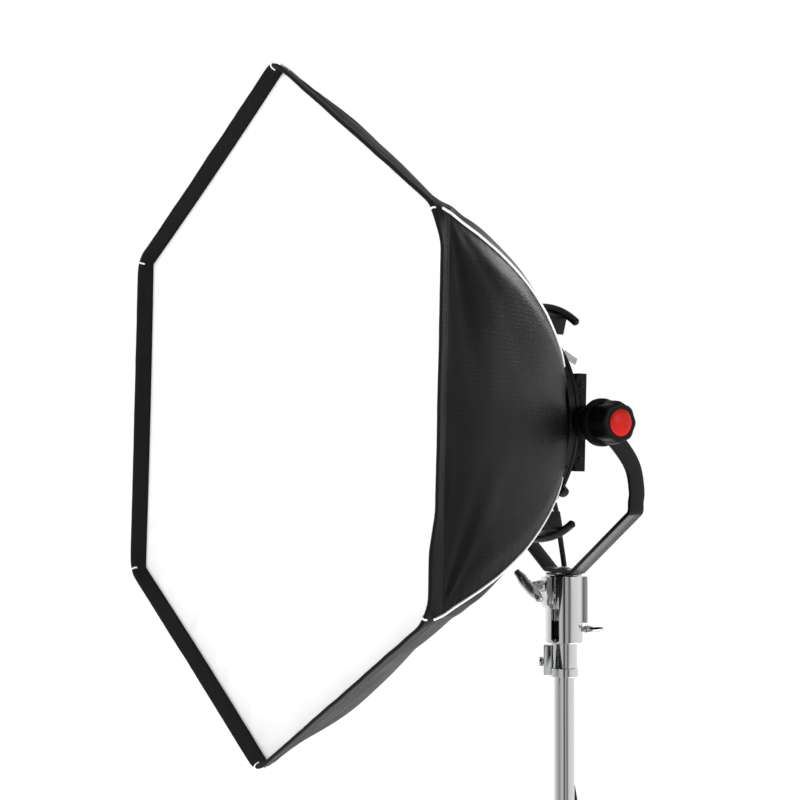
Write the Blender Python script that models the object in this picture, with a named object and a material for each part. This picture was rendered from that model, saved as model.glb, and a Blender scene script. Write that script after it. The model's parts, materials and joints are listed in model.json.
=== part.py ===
"""Studio softbox: a hexagonal softbox on a round LED lamp head, held by a yoke on a chrome telescopic stand.

Metres, +Z up. The origin is on the floor under the middle of the footprint, and the light shines along -Y.
The head's pieces are written in the head's own frame, whose origin is on the tilt axis, and hang from the
empty head_pivot, which is turned by the small angle at which the lamp is aimed up.
"""

import math

import bmesh
import bpy
from mathutils import Matrix, Vector

# ---------------------------------------------------------------- driving dimensions
TILT_AXIS_HEIGHT = 1.500
AIM_UP = math.radians(1.45)
RIM_RADIUS = 0.475            # centre to a corner of the hexagon
RIM_TO_TILT_AXIS = 0.425
TILT_AXIS_TO_STAND = 0.072    # the yoke is cranked back by this much
GAP = 0.0004                  # air left between touching pieces
SMALL = 10                    # sides of a small round piece
ROUND = 24                    # sides of a large one

# softbox
SHELL_END = 0.3965            # depth of the fabric's rear edge, behind the rim plane
SHELL_PROFILE = ((0.0, RIM_RADIUS), (0.22, 0.336), (0.40, 0.147))
SHELL_WALL = 0.003
HEM_DEPTH = 0.025
HEM_WIDTH = 0.016
DIFFUSER_THICK = 0.002
BAFFLE_DEPTH = 0.190
ROD_RADIUS = 0.0025
ROD_END = 0.406

# lamp head, as depths behind the rim plane
RING_DEPTH = (0.397, 0.414)
RING_RADII = (0.112, 0.1465)
HOUSING_DEPTH = (0.4145, 0.446)
HOUSING_RADIUS = 0.138
HOUSING_SHOULDER = 0.420      # depth where the taper towards the back starts
HOUSING_BACK_RADIUS = 0.104
HOUSING_FLAT = 0.118          # half width between the two side flats
HANDLE_DEPTH = 0.4480         # middle of the handle bars
BRACKET_DEPTH = (0.4150, 0.4500)
REAR_STEPS = ((0.096, 0.452), (0.076, 0.478), (0.055, 0.4945))

# yoke
ARM_X = 0.172
BAR_THICK = 0.006
BAR_WIDE = 0.025
ARM_END_Z = -0.125
FOLD_X = 0.1655
BASE_HALF = 0.032
BASE_Z = -0.2175
PIVOT_RADIUS = 0.006
BLOCK_FACE = 0.135            # outer face of the side blocks
BLOCK_BACK = 0.4340           # their depth behind the rim plane
BLOCK_CHAMFER = 0.008
HUB_SIZE = 0.0240             # radius of the drum between a side block and the yoke's arm
KNOB_X = 0.1885               # inner face of the tilt knobs
CAP_X = 0.2219                # inner face of their caps
LOCK_KNOB_ANGLE = math.radians(-38)

# stand, as heights above the floor
RECEIVER_Z = (1.178, 1.2762)
RECEIVER_RADIUS = 0.0275
SPIGOT_RADIUS = 0.014
COLLAR_Z = (1.128, 1.1775)
COLLAR_RADIUS = 0.0190
COLLAR_FLANGE = (0.0208, 0.013)             # radius and height
LUG_REACH = 0.0300            # of the collar's screw lug, from the stand's axis
RISER_RADIUS = 0.015
RISER_BOTTOM = 0.32
COLUMN_RADIUS = 0.0175
COLUMN_Z = (0.070, 0.6595)
CLAMP_Z = (0.600, 0.660)
SCREW_RADIUS = 0.004
T_HANDLE = (1.2605, math.radians(258))      # height and heading of each side screw
BACK_BOSS = math.radians(58)
T_HANDLE_TURN = math.radians(-50)           # about the screw, from level
WING_KNOB = (1.1965, math.radians(52))
WING_TURN = math.radians(72)
COLLAR_KNOB = (1.148, math.radians(232))
CLAMP_KNOB = (0.630, math.radians(140))
HUB_BOTTOM = 0.095
HUB_HEIGHT = 0.036
LEG_RADIUS = 0.011
LEG_REACH = 0.505
FOOT_RADIUS = 0.0155
FOOT_FLAT = 0.0015            # the boot's underside is cut flat by this much
FOOT_CHAMFER = 0.005

# power cable
CABLE_RADIUS = 0.004
CABLE_X = -0.030
GLAND_START = Vector((-0.030, 0.0585, -0.0735))
GLAND_DIRECTION = Vector((0.0, 0.42, -0.91)).normalized()
GLAND_LENGTH = 0.0345
TIE_Z = (0.891, 0.913)
TIE_Y = RISER_RADIUS + CABLE_RADIUS + GAP     # behind the stand's axis
COIL_CENTRE = (0.020, 0.215)  # from the stand's axis
COIL_RADIUS = 0.045           # middle of the turns
COIL_HALF_WIDE = 0.0125
COIL_HEIGHT = 0.0245
PLUG_RADIUS = 0.0165
PLUG_FROM_COIL = Vector((0.060, -0.020, PLUG_RADIUS + 0.0001))

REAR_LEG_ANGLES = (30, 150)
REAR_REACH = (LEG_REACH + FOOT_RADIUS - FOOT_CHAMFER) / 2 + FOOT_RADIUS * math.cos(math.radians(30))
STAND_Y = (LEG_REACH + FOOT_RADIUS - REAR_REACH) / 2
TILT_AXIS_Y = STAND_Y - TILT_AXIS_TO_STAND


# ---------------------------------------------------------------- scene and materials
def clear_scene():
    for obj in list(bpy.data.objects):
        bpy.data.objects.remove(obj, do_unlink=True)


def make_material(name, colour, roughness, metallic=0.0):
    material = bpy.data.materials.new(name)
    material.use_nodes = True
    shader = material.node_tree.nodes["Principled BSDF"]
    shader.inputs["Base Color"].default_value = (*colour, 1)
    shader.inputs["Roughness"].default_value = roughness
    shader.inputs["Metallic"].default_value = metallic
    return material


def make_materials():
    return {
        "black_fabric": make_material("black_fabric", (0.014, 0.014, 0.015), 0.75),
        "white_fabric": make_material("white_fabric", (0.85, 0.85, 0.84), 0.8),
        "grey_fabric": make_material("grey_fabric", (0.6, 0.6, 0.6), 0.85),
        "black_paint": make_material("black_paint", (0.02, 0.02, 0.021), 0.42),
        "black_rubber": make_material("black_rubber", (0.016, 0.016, 0.016), 0.6),
        "red_plastic": make_material("red_plastic", (0.55, 0.01, 0.015), 0.18),
        "chrome": make_material("chrome", (0.62, 0.62, 0.63), 0.08, 1.0),
        "steel": make_material("steel", (0.55, 0.55, 0.56), 0.3, 1.0),
        "aluminium": make_material("aluminium", (0.6, 0.6, 0.61), 0.35, 1.0),
        "led_yellow": make_material("led_yellow", (0.75, 0.6, 0.12), 0.5),
        "clear_lens": make_material("clear_lens", (0.85, 0.87, 0.88), 0.1),
    }


# ---------------------------------------------------------------- mesh helpers
def add_mesh(name, mesh_data, material, parent=None):
    """Makes an object of a bmesh, with its faces turned outwards and its round parts shaded smooth."""
    bmesh.ops.recalc_face_normals(mesh_data, faces=mesh_data.faces)
    mesh = bpy.data.meshes.new(name)
    mesh_data.to_mesh(mesh)
    mesh_data.free()
    mesh.shade_smooth()
    mesh.set_sharp_from_angle(angle=math.radians(35))
    obj = bpy.data.objects.new(name, mesh)
    bpy.context.scene.collection.objects.link(obj)
    if material:
        mesh.materials.append(material)
    obj.parent = parent
    return obj


def bridge(mesh_data, first, second):
    count = len(first)
    for i in range(count):
        j = (i + 1) % count
        mesh_data.faces.new((first[i], first[j], second[j], second[i]))


def loft(rings, closed=False):
    """A skin over rings of points. Closed joins the last ring to the first, and open caps both ends."""
    mesh_data = bmesh.new()
    skin = [[mesh_data.verts.new(point) for point in ring] for ring in rings]
    for first, second in zip(skin, skin[1:]):
        bridge(mesh_data, first, second)
    if closed:
        bridge(mesh_data, skin[-1], skin[0])
    else:
        mesh_data.faces.new(skin[0])
        mesh_data.faces.new(skin[-1])
    return mesh_data


def circle(radius, height, sides, axis="Z"):
    """A ring of points about an axis through the origin."""
    ring = []
    for i in range(sides):
        angle = 2 * math.pi * (i + 0.5) / sides
        a, b = radius * math.cos(angle), radius * math.sin(angle)
        ring.append({"X": (height, a, b), "Y": (a, height, b), "Z": (a, b, height)}[axis])
    return ring


def turned(profile, sides=ROUND, axis="Z", closed=False):
    """A turned piece: profile is (radius, height) pairs. A closed profile leaves a bore."""
    return loft([circle(radius, height, sides, axis) for radius, height in profile], closed)


def extruded(outline, low, high, axis="Y"):
    """A flat outline of (a, b) pairs, extruded between two positions on an axis."""
    place = {
        "X": lambda a, b, c: (c, a, b),
        "Y": lambda a, b, c: (a, c, b),
        "Z": lambda a, b, c: (a, b, c),
    }[axis]
    return loft([[place(a, b, c) for a, b in outline] for c in (low, high)])


def box(x, y, z):
    """A box from three (low, high) pairs."""
    outline = ((x[0], z[0]), (x[1], z[0]), (x[1], z[1]), (x[0], z[1]))
    return extruded(outline, y[0], y[1], "Y")


def smooth_line(points, spacing):
    """A Catmull-Rom curve through the points, sampled about every spacing."""
    ends = [2 * points[0] - points[1], *points, 2 * points[-1] - points[-2]]
    line = []
    for a, b, c, d in zip(ends, ends[1:], ends[2:], ends[3:]):
        steps = max(1, round((c - b).length / spacing))
        for i in range(steps):
            t = i / steps
            line.append(
                0.5 * (2 * b + (c - a) * t + (2 * a - 5 * b + 4 * c - d) * t * t
                       + (3 * b - a - 3 * c + d) * t ** 3)
            )
    return [*line, points[-1]]


def tube(name, line, radius, material, parent=None, resolution=2):
    """A round bar along a line of points, as a bevelled curve with filled ends."""
    curve = bpy.data.curves.new(name, "CURVE")
    curve.dimensions = "3D"
    curve.bevel_depth = radius
    curve.bevel_resolution = resolution
    curve.use_fill_caps = True
    spline = curve.splines.new("POLY")
    spline.points.add(len(line) - 1)
    for point, place in zip(spline.points, line):
        point.co = (*place, 1)
    curve.materials.append(material)
    obj = bpy.data.objects.new(name, curve)
    bpy.context.scene.collection.objects.link(obj)
    obj.parent = parent
    return obj


def combine(obj, other, operation):
    """Adds a Boolean of another object, which becomes a hidden guide."""
    other.hide_render = True
    other.display_type = "WIRE"
    modifier = obj.modifiers.new(other.name, "BOOLEAN")
    modifier.operation = operation
    modifier.object = other
    return obj


def joined(obj, mesh_data, name):
    return combine(obj, add_mesh(name, mesh_data, None, obj.parent), "UNION")


def cut(obj, mesh_data, name):
    return combine(obj, add_mesh(name, mesh_data, None, obj.parent), "DIFFERENCE")


def empty(name, location, rotation=(0, 0, 0), parent=None):
    obj = bpy.data.objects.new(name, None)
    obj.location = location
    obj.rotation_euler = rotation
    obj.parent = parent
    bpy.context.scene.collection.objects.link(obj)
    return obj


def behind_rim(depth):
    """The head frame's y of a depth behind the rim plane."""
    return depth - RIM_TO_TILT_AXIS


# ---------------------------------------------------------------- softbox
def circle_through(a, b, c):
    """Centre and radius of the circle through three points of a plane."""
    ax, ay, bx, by, cx, cy = *a, *b, *c
    d = 2 * (ax * (by - cy) + bx * (cy - ay) + cx * (ay - by))
    sa, sb, sc = ax * ax + ay * ay, bx * bx + by * by, cx * cx + cy * cy
    x = (sa * (by - cy) + sb * (cy - ay) + sc * (ay - by)) / d
    y = (sa * (cx - bx) + sb * (ax - cx) + sc * (bx - ax)) / d
    return x, y, math.hypot(ax - x, ay - y)


def profile_radius(depth, inset=0.0):
    """Corner radius of the bowed shell at a depth, or of a line set inside it."""
    x, y, radius = circle_through(*SHELL_PROFILE)
    return y + math.sqrt((radius - inset) ** 2 - (depth - x) ** 2)


def hexagon(radius, depth):
    """Corners at the top, the bottom and two on each side."""
    angles = [math.radians(30 + 60 * i) for i in range(6)]
    return [(radius * math.cos(a), behind_rim(depth), radius * math.sin(a)) for a in angles]


def depths(first, last, count):
    return [first + (last - first) * i / (count - 1) for i in range(count)]


def build_softbox(pivot, materials):
    fabric, white = materials["black_fabric"], materials["white_fabric"]

    hem_end = profile_radius(HEM_DEPTH)
    hem = [
        hexagon(RIM_RADIUS, 0),
        hexagon(hem_end, HEM_DEPTH),
        hexagon(hem_end - 0.004, HEM_DEPTH),
        hexagon(RIM_RADIUS - HEM_WIDTH, 0.004),
        hexagon(RIM_RADIUS - HEM_WIDTH, 0),
    ]
    add_mesh("front_hem", loft(hem, closed=True), fabric, pivot)

    stations = depths(HEM_DEPTH + GAP, SHELL_END, 9)
    outside = [hexagon(profile_radius(d), d) for d in stations]
    inside = [hexagon(profile_radius(d, SHELL_WALL), d) for d in reversed(stations)]
    add_mesh("fabric_shell", loft(outside + inside, closed=True), fabric, pivot)

    diffuser_depth = HEM_DEPTH + 2 * GAP
    diffuser_radius = profile_radius(diffuser_depth + DIFFUSER_THICK, SHELL_WALL) - 0.002
    diffuser = [hexagon(diffuser_radius, d) for d in (diffuser_depth, diffuser_depth + DIFFUSER_THICK)]
    add_mesh("front_diffuser", loft(diffuser), white, pivot)

    baffle_radius = profile_radius(BAFFLE_DEPTH, SHELL_WALL) - 0.022
    baffle = [hexagon(baffle_radius, d) for d in (BAFFLE_DEPTH, BAFFLE_DEPTH + DIFFUSER_THICK)]
    add_mesh("inner_baffle", loft(baffle), white, pivot)

    for i in range(6):
        build_rod(i, pivot, materials["steel"])


def rod_point(corner, depth):
    angle = math.radians(30 + 60 * corner)
    radius = profile_radius(depth, SHELL_WALL + 0.0045)
    return Vector((radius * math.cos(angle), behind_rim(depth), radius * math.sin(angle)))


def build_rod(corner, pivot, material):
    line = [rod_point(corner, d) for d in depths(HEM_DEPTH + 0.006, ROD_END, 11)]
    tube(f"spring_rod_{corner + 1}", line, ROD_RADIUS, material, pivot, resolution=1)


def build_speed_ring(pivot, materials):
    inner, outer = RING_RADII
    front, back = (behind_rim(d) for d in RING_DEPTH)
    profile = [(outer, front), (outer, back), (inner, back), (inner, front)]
    ring_mesh = turned(profile, 36, "Y", closed=True)
    ring = add_mesh("speed_ring", ring_mesh, materials["black_paint"], pivot)
    for corner in range(6):
        start, end = rod_point(corner, RING_DEPTH[0] - 0.004), rod_point(corner, ROD_END + 0.0015)
        turn = (end - start).to_track_quat("Z", "Y").to_matrix().to_4x4()
        socket = turned([(0.0036, 0), (0.0036, (end - start).length)], SMALL)
        socket.transform(Matrix.Translation(start) @ turn)
        cut(ring, socket, f"rod_socket_{corner + 1}")

    knob = turned([(0.0035, 0), (0.0035, 0.004), (0.0075, 0.0045), (0.0075, 0.013), (0.006, 0.0145)], SMALL)
    obj = add_mesh("ring_lock_knob", knob, materials["black_rubber"], pivot)
    angle = LOCK_KNOB_ANGLE
    obj.location = (
        (outer + GAP) * math.cos(angle), (front + back) / 2, (outer + GAP) * math.sin(angle)
    )
    obj.rotation_euler = (0, math.radians(90) - angle, 0)

    thick, half_wide = 0.0016, 0.005
    stations = ((0.105, RING_DEPTH[1] + GAP, 0.0985), (0.107, 0.422, 0.0950), (0.110, 0.4335, 0.0870))
    corners = ((0, -half_wide), (thick, -half_wide), (thick, half_wide), (0, half_wide))
    tab = loft([[(x - h, behind_rim(d), z + w) for h, w in corners] for x, d, z in stations])
    add_mesh("pull_tab", tab, materials["grey_fabric"], pivot)


# ---------------------------------------------------------------- lamp head
def flat_sided(radius, depth, sides=32):
    """A circle with its two sides cut flat."""
    ring = circle(radius, behind_rim(depth), sides, "Y")
    return [(max(-HOUSING_FLAT, min(HOUSING_FLAT, x)), y, z) for x, y, z in ring]


def build_lamp(pivot, materials):
    front, back = HOUSING_DEPTH
    wall = 0.004
    housing = loft([
        flat_sided(0.106, front),
        flat_sided(HOUSING_RADIUS - 0.002, front),
        flat_sided(HOUSING_RADIUS, front + 0.002),
        flat_sided(HOUSING_RADIUS, HOUSING_SHOULDER),
        flat_sided(HOUSING_BACK_RADIUS + 0.001, back - 0.001),
        flat_sided(HOUSING_BACK_RADIUS, back),
        flat_sided(0.050, back),
        flat_sided(0.050, back - wall),
        flat_sided(HOUSING_BACK_RADIUS - 0.003, back - wall),
    ], closed=True)
    add_mesh("lamp_housing", housing, materials["black_paint"], pivot)

    board = turned([(0.098, behind_rim(0.4365)), (0.098, behind_rim(0.4415))], ROUND, "Y")
    add_mesh("led_board", board, materials["led_yellow"], pivot)
    lens_back = behind_rim(0.432)
    lens = [(0.101, lens_back), (0.101, lens_back - 0.006),
            (0.085, lens_back - 0.011), (0.045, lens_back - 0.014)]
    add_mesh("led_lens", turned(lens, ROUND, "Y"), materials["clear_lens"], pivot)

    build_rear(pivot, materials)
    for side, sign in (("right", 1), ("left", -1)):
        build_trunnion(side, sign, pivot, materials)
    build_handle("top_handle", 1, pivot, materials["black_paint"])
    build_handle("bottom_handle", -1, pivot, materials["black_paint"])


def build_rear(pivot, materials):
    """A finned heat sink on the housing's back, under a stepped cover with vents at its top."""
    sink_front, sink_back = behind_rim(HOUSING_DEPTH[1] + GAP), behind_rim(0.470)
    fin, pitch, fins = 0.0025, 0.0085, 9
    outline = [(-0.040, sink_front), (0.040, sink_front)]
    for i in reversed(range(fins)):
        x = (i - (fins - 1) / 2) * pitch
        outline += [(x + fin / 2, sink_front + 0.005), (x + fin / 2, sink_back),
                    (x - fin / 2, sink_back), (x - fin / 2, sink_front + 0.005)]
    outline[2] = (0.040, sink_front + 0.005)
    outline.insert(3, (0.5 * (fins - 1) * pitch + fin / 2, sink_front + 0.005))
    outline.append((-0.040, sink_front + 0.005))
    sink = extruded(outline, -0.040, 0.040, "Z")
    add_mesh("heat_sink", sink, materials["aluminium"], pivot)

    start = behind_rim(HOUSING_DEPTH[1] + GAP)
    (r0, d0), (r1, d1), (r2, d2) = REAR_STEPS
    wall = 0.003
    cover = turned([
        (r0, start), (r0, behind_rim(d0)), (r1, behind_rim(d1)), (r2, behind_rim(d2)),
        (0.018, behind_rim(d2)), (0.018, behind_rim(d2) - wall),
        (r2 - 0.002, behind_rim(d2) - wall), (r1 - wall, behind_rim(d1) - wall),
        (r0 - wall, behind_rim(d0) - wall), (r0 - wall, start),
    ], ROUND, "Y", closed=True)
    cover_obj = add_mesh("rear_cover", cover, materials["black_paint"], pivot)
    for i in range(5):
        x = (i - 2) * 0.014
        slot = box((x - 0.0025, x + 0.0025), (behind_rim(0.440), behind_rim(0.475)), (0.066, 0.110))
        cut(cover_obj, slot, f"vent_{i + 1}")

    build_fan(pivot, materials["black_rubber"])

    gland = turned([(0.0075, 0.0), (0.0075, 0.009), (0.0062, 0.013), (0.0056, 0.034), (0.0048, 0.0345),
                    (0.0048, 0.0)], SMALL, "Z")
    obj = add_mesh("cable_gland", gland, materials["black_rubber"], pivot)
    obj.matrix_local = gland_matrix()


def build_fan(pivot, rubber):
    """A flat axial fan behind the heat sink: a ring with a motor plate on struts, and its rotor."""
    front, back = behind_rim(0.4735), behind_rim(0.4875)
    ring = turned([(0.039, front), (0.039, back), (0.0355, back), (0.0355, front)], ROUND, "Y", closed=True)
    frame = add_mesh("fan_frame", ring, rubber, pivot)
    joined(frame, turned([(0.011, front), (0.011, front + 0.0016)], SMALL, "Y"), "fan_motor_plate")
    for i in range(3):
        strut = box((-0.002, 0.002), (front, front + 0.0015), (0.008, 0.0372))
        strut.transform(Matrix.Rotation(2 * math.pi * i / 3, 4, "Y"))
        joined(frame, strut, f"fan_strut_{i + 1}")
    rotor_front, rotor_back = front + 0.0026, back - 0.0005
    hub = turned([(0.012, rotor_front), (0.012, rotor_back)], SMALL, "Y")
    rotor = add_mesh("fan_rotor", hub, rubber, pivot)
    for i in range(5):
        blade = box((-0.0011, 0.0011), (rotor_front + 0.0005, rotor_back - 0.0005), (0.010, 0.0335))
        blade.transform(Matrix.Rotation(2 * math.pi * i / 5, 4, "Y"))
        joined(rotor, blade, f"fan_blade_{i + 1}")


def gland_matrix():
    """The strain relief leaves the lower slope of the rear cover, pointing down and back."""
    start, direction = GLAND_START, GLAND_DIRECTION
    return Matrix.Translation(start) @ direction.to_track_quat("Z", "Y").to_matrix().to_4x4()


def build_trunnion(side, sign, pivot, materials):
    """One side's block, pivot shaft, friction disc, knob and cap, out to the side along X."""
    black, rubber = materials["black_paint"], materials["black_rubber"]

    def mirrored(mesh_data):
        if sign < 0:
            mesh_data.transform(Matrix.Scale(-1, 4, (1, 0, 0)))
        return mesh_data

    top = 0.068
    front, back = behind_rim(RING_DEPTH[1] + 2 * GAP), behind_rim(BLOCK_BACK)
    ease = BLOCK_CHAMFER
    outline = [
        (front, -top + ease), (front + ease / 2, -top), (back, -top), (back, top),
        (front + ease / 2, top), (front, top - ease),
    ]
    block_mesh = mirrored(extruded(outline, HOUSING_FLAT + GAP, BLOCK_FACE, "X"))
    block = add_mesh(f"side_block_{side}", block_mesh, black, pivot)
    bore_radius = PIVOT_RADIUS + 0.0004
    bore = turned([(bore_radius, 0.124), (bore_radius, 0.16)], 16, "X")
    cut(block, mirrored(bore), f"block_bore_{side}")

    boss, arm_face = HUB_SIZE, ARM_X - BAR_THICK / 2 - GAP
    shoulder = BLOCK_FACE + GAP
    shaft = turned([
        (PIVOT_RADIUS, 0.1245), (PIVOT_RADIUS, shoulder), (boss, shoulder), (boss, arm_face),
        (PIVOT_RADIUS, arm_face), (PIVOT_RADIUS, 0.2000),
    ], 16, "X")
    shaft_obj = add_mesh(f"pivot_shaft_{side}", mirrored(shaft), materials["black_paint"], pivot)
    ring_back = behind_rim(RING_DEPTH[1]) + GAP
    relief = box((BLOCK_FACE - 0.001, RING_RADII[1] + 0.001), (-0.03, ring_back), (-0.03, 0.03))
    cut(shaft_obj, mirrored(relief), f"ring_relief_{side}")

    knob = add_mesh(f"tilt_knob_{side}", mirrored(lobed_knob(KNOB_X)), rubber, pivot)
    blind_bore = turned([(bore_radius, KNOB_X - 0.004), (bore_radius, 0.2008)], 16, "X")
    cut(knob, mirrored(blind_bore), f"knob_bore_{side}")

    cap = turned([(0.0184, CAP_X), (0.0181, CAP_X + 0.0015), (0.0155, CAP_X + 0.0034),
                  (0.0110, CAP_X + 0.0046), (0.0055, CAP_X + 0.0051)], 24, "X")
    add_mesh(f"knob_cap_{side}", mirrored(cap), materials["red_plastic"], pivot)


def lobed_knob(start):
    """A hand knob with eight soft lobes that tapers towards its face."""
    rings = []
    sections = ((0.0240, 0.001, 0.0), (0.0280, 0.0013, 0.003), (0.0285, 0.0013, 0.016),
                (0.0280, 0.0010, 0.0280), (0.0245, 0.0003, 0.0330))
    for radius, lobe, height in sections:
        ring = []
        for i in range(48):
            angle = 2 * math.pi * i / 48
            r = radius + lobe * math.cos(8 * angle)
            ring.append((start + height, r * math.cos(angle), r * math.sin(angle)))
        rings.append(ring)
    return loft(rings)


def build_handle(name, sign, pivot, material):
    """A round bar bent to an arc about the lamp's axis, on two tapered brackets."""
    radius, bar, depth = 0.168, 0.005, HANDLE_DEPTH
    first, last, count = 57, 123, 17
    points = []
    for i in range(count):
        angle = math.radians(first + (last - first) * i / (count - 1))
        x, z = radius * math.cos(angle), sign * radius * math.sin(angle)
        points.append(Vector((x, behind_rim(depth), z)))
    rings = []
    for i, point in enumerate(points):
        along = (points[min(i + 1, count - 1)] - points[max(i - 1, 0)]).normalized()
        out = Vector((point.x, 0, point.z)).normalized()
        across = along.cross(out)
        size = bar * (0.75 if i in (0, count - 1) else 1)
        rings.append([point + size * (out * math.cos(a) + across * math.sin(a))
                      for a in (2 * math.pi * k / 10 for k in range(10))])
    handle = add_mesh(name, loft(rings), material, pivot)

    plate_y = (behind_rim(BRACKET_DEPTH[0]), behind_rim(BRACKET_DEPTH[1]))
    wedge = ((0.067, 0.153), (0.060, 0.1545), (0.030, 0.163),
             (0.036, 0.1337), (0.0475, 0.1301), (0.0585, 0.1255))
    for side in (1, -1):
        outline = [(side * x, sign * z) for x, z in wedge]
        joined(handle, extruded(outline, *plate_y, "Y"), f"{name}_bracket_{side + 2}")


# ---------------------------------------------------------------- yoke
def bar_section(point, wide, thick):
    """Four corners of the flat bar at a point, from its width and thickness vectors."""
    w, t = wide * BAR_WIDE / 2, thick * BAR_THICK / 2
    return [point - w - t, point + w - t, point + w + t, point - w + t]


def build_yoke(yoke, materials):
    """The flat bar: each arm runs back and down from its eye, then folds in to the level base."""
    crank = TILT_AXIS_TO_STAND
    arm = smooth_line([Vector(p) for p in (
        (ARM_X, 0, 0), (ARM_X, 0.033, -0.026), (ARM_X - 0.002, 0.062, -0.060),
        (FOLD_X + 0.002, crank, -0.095), (FOLD_X, crank, ARM_END_Z + 0.008),
    )], 0.014)
    across = Vector((1, 0, 0))
    half = []
    for i, point in enumerate(arm):
        along = (arm[min(i + 1, len(arm) - 1)] - arm[max(i - 1, 0)]).normalized()
        half.append(bar_section(point, across.cross(along), across))
    slope = math.atan2(BASE_Z - ARM_END_Z, BASE_HALF - FOLD_X)
    turn_down = Vector((math.cos(slope / 2 - math.pi / 4), 0, math.sin(slope / 2 - math.pi / 4)))
    deep = Vector((0, 1, 0))
    half.append(bar_section(Vector((FOLD_X, crank, ARM_END_Z)), deep, turn_down.cross(deep) * 1.12))
    fold = Vector((math.cos((slope - math.pi) / 2), 0, math.sin((slope - math.pi) / 2)))
    half.append(bar_section(Vector((BASE_HALF, crank, BASE_Z)), deep, fold.cross(deep) * 1.05))
    other = [[Vector((-p.x, p.y, p.z)) for p in ring] for ring in reversed(half)]
    bar = add_mesh("yoke_bar", loft(half + other), materials["black_paint"], yoke)

    base_top = BASE_Z + BAR_THICK / 2
    for side, sign in (("right", 1), ("left", -1)):
        x = (sign * (ARM_X - BAR_THICK / 2), sign * (ARM_X + BAR_THICK / 2))
        joined(bar, turned([(0.021, x[0]), (0.021, x[1])], 24, "X"), f"arm_eye_{side}")
    for side, sign in (("right", 1), ("left", -1)):
        bore = turned([(PIVOT_RADIUS + 0.0005, sign * 0.16), (PIVOT_RADIUS + 0.0005, sign * 0.185)], 16, "X")
        cut(bar, bore, f"arm_bore_{side}")
        start = ARM_X + BAR_THICK / 2 + GAP
        disc = turned([
            (0.0305, start), (0.033, start + 0.002), (0.033, start + 0.009), (0.0305, 0.1875),
            (PIVOT_RADIUS + 0.0005, 0.1875), (PIVOT_RADIUS + 0.0005, start),
        ], ROUND, "X", closed=True)
        if sign < 0:
            disc.transform(Matrix.Scale(-1, 4, (1, 0, 0)))
        add_mesh(f"friction_disc_{side}", disc, materials["black_paint"], yoke)

    hole = turned([(0.0056, BASE_Z - 0.01), (0.0056, BASE_Z + 0.01)], SMALL)
    hole.transform(Matrix.Translation((0, crank, 0)))
    cut(bar, hole, "base_hole")

    base_bottom = BASE_Z - BAR_THICK / 2
    neck = SPIGOT_RADIUS - 0.002
    sections = (
        (0.0260, GAP), (0.0260, 0.0022), (SPIGOT_RADIUS, 0.0027), (SPIGOT_RADIUS, 0.035), (neck, 0.037),
        (neck, 0.045), (SPIGOT_RADIUS, 0.047), (SPIGOT_RADIUS, 0.072), (neck, 0.074),
        (0.0056, 0.074), (0.0056, GAP),
    )
    spigot = turned([(r, base_bottom - drop) for r, drop in sections], 24, closed=True)
    obj = add_mesh("yoke_spigot", spigot, materials["chrome"], yoke)
    obj.location = (0, crank, 0)

    bolt = turned([
        (0.007, base_top + 0.0026), (0.010, base_top + 0.0016), (0.010, base_top + GAP),
        (0.005, base_top + GAP), (0.005, base_bottom - 0.060),
    ], 6)
    obj = add_mesh("spigot_bolt", bolt, materials["steel"], yoke)
    obj.location = (0, crank, 0)


# ---------------------------------------------------------------- stand
def screw_at(name, mesh_data, material, place, heading, parent):
    """A screw or knob modelled along +Z, turned level and placed on the stand's side."""
    obj = add_mesh(name, mesh_data, material, parent)
    obj.location = place
    obj.rotation_euler = (0, math.radians(90), heading)
    return obj


def side_bore(radius, length, height, heading):
    bore = turned([(radius, 0), (radius, length)], SMALL)
    bore.transform(Matrix.Rotation(math.radians(90), 4, "Y"))
    bore.transform(Matrix.Translation((0, 0, height)) @ Matrix.Rotation(heading, 4, "Z"))
    return bore


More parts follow.
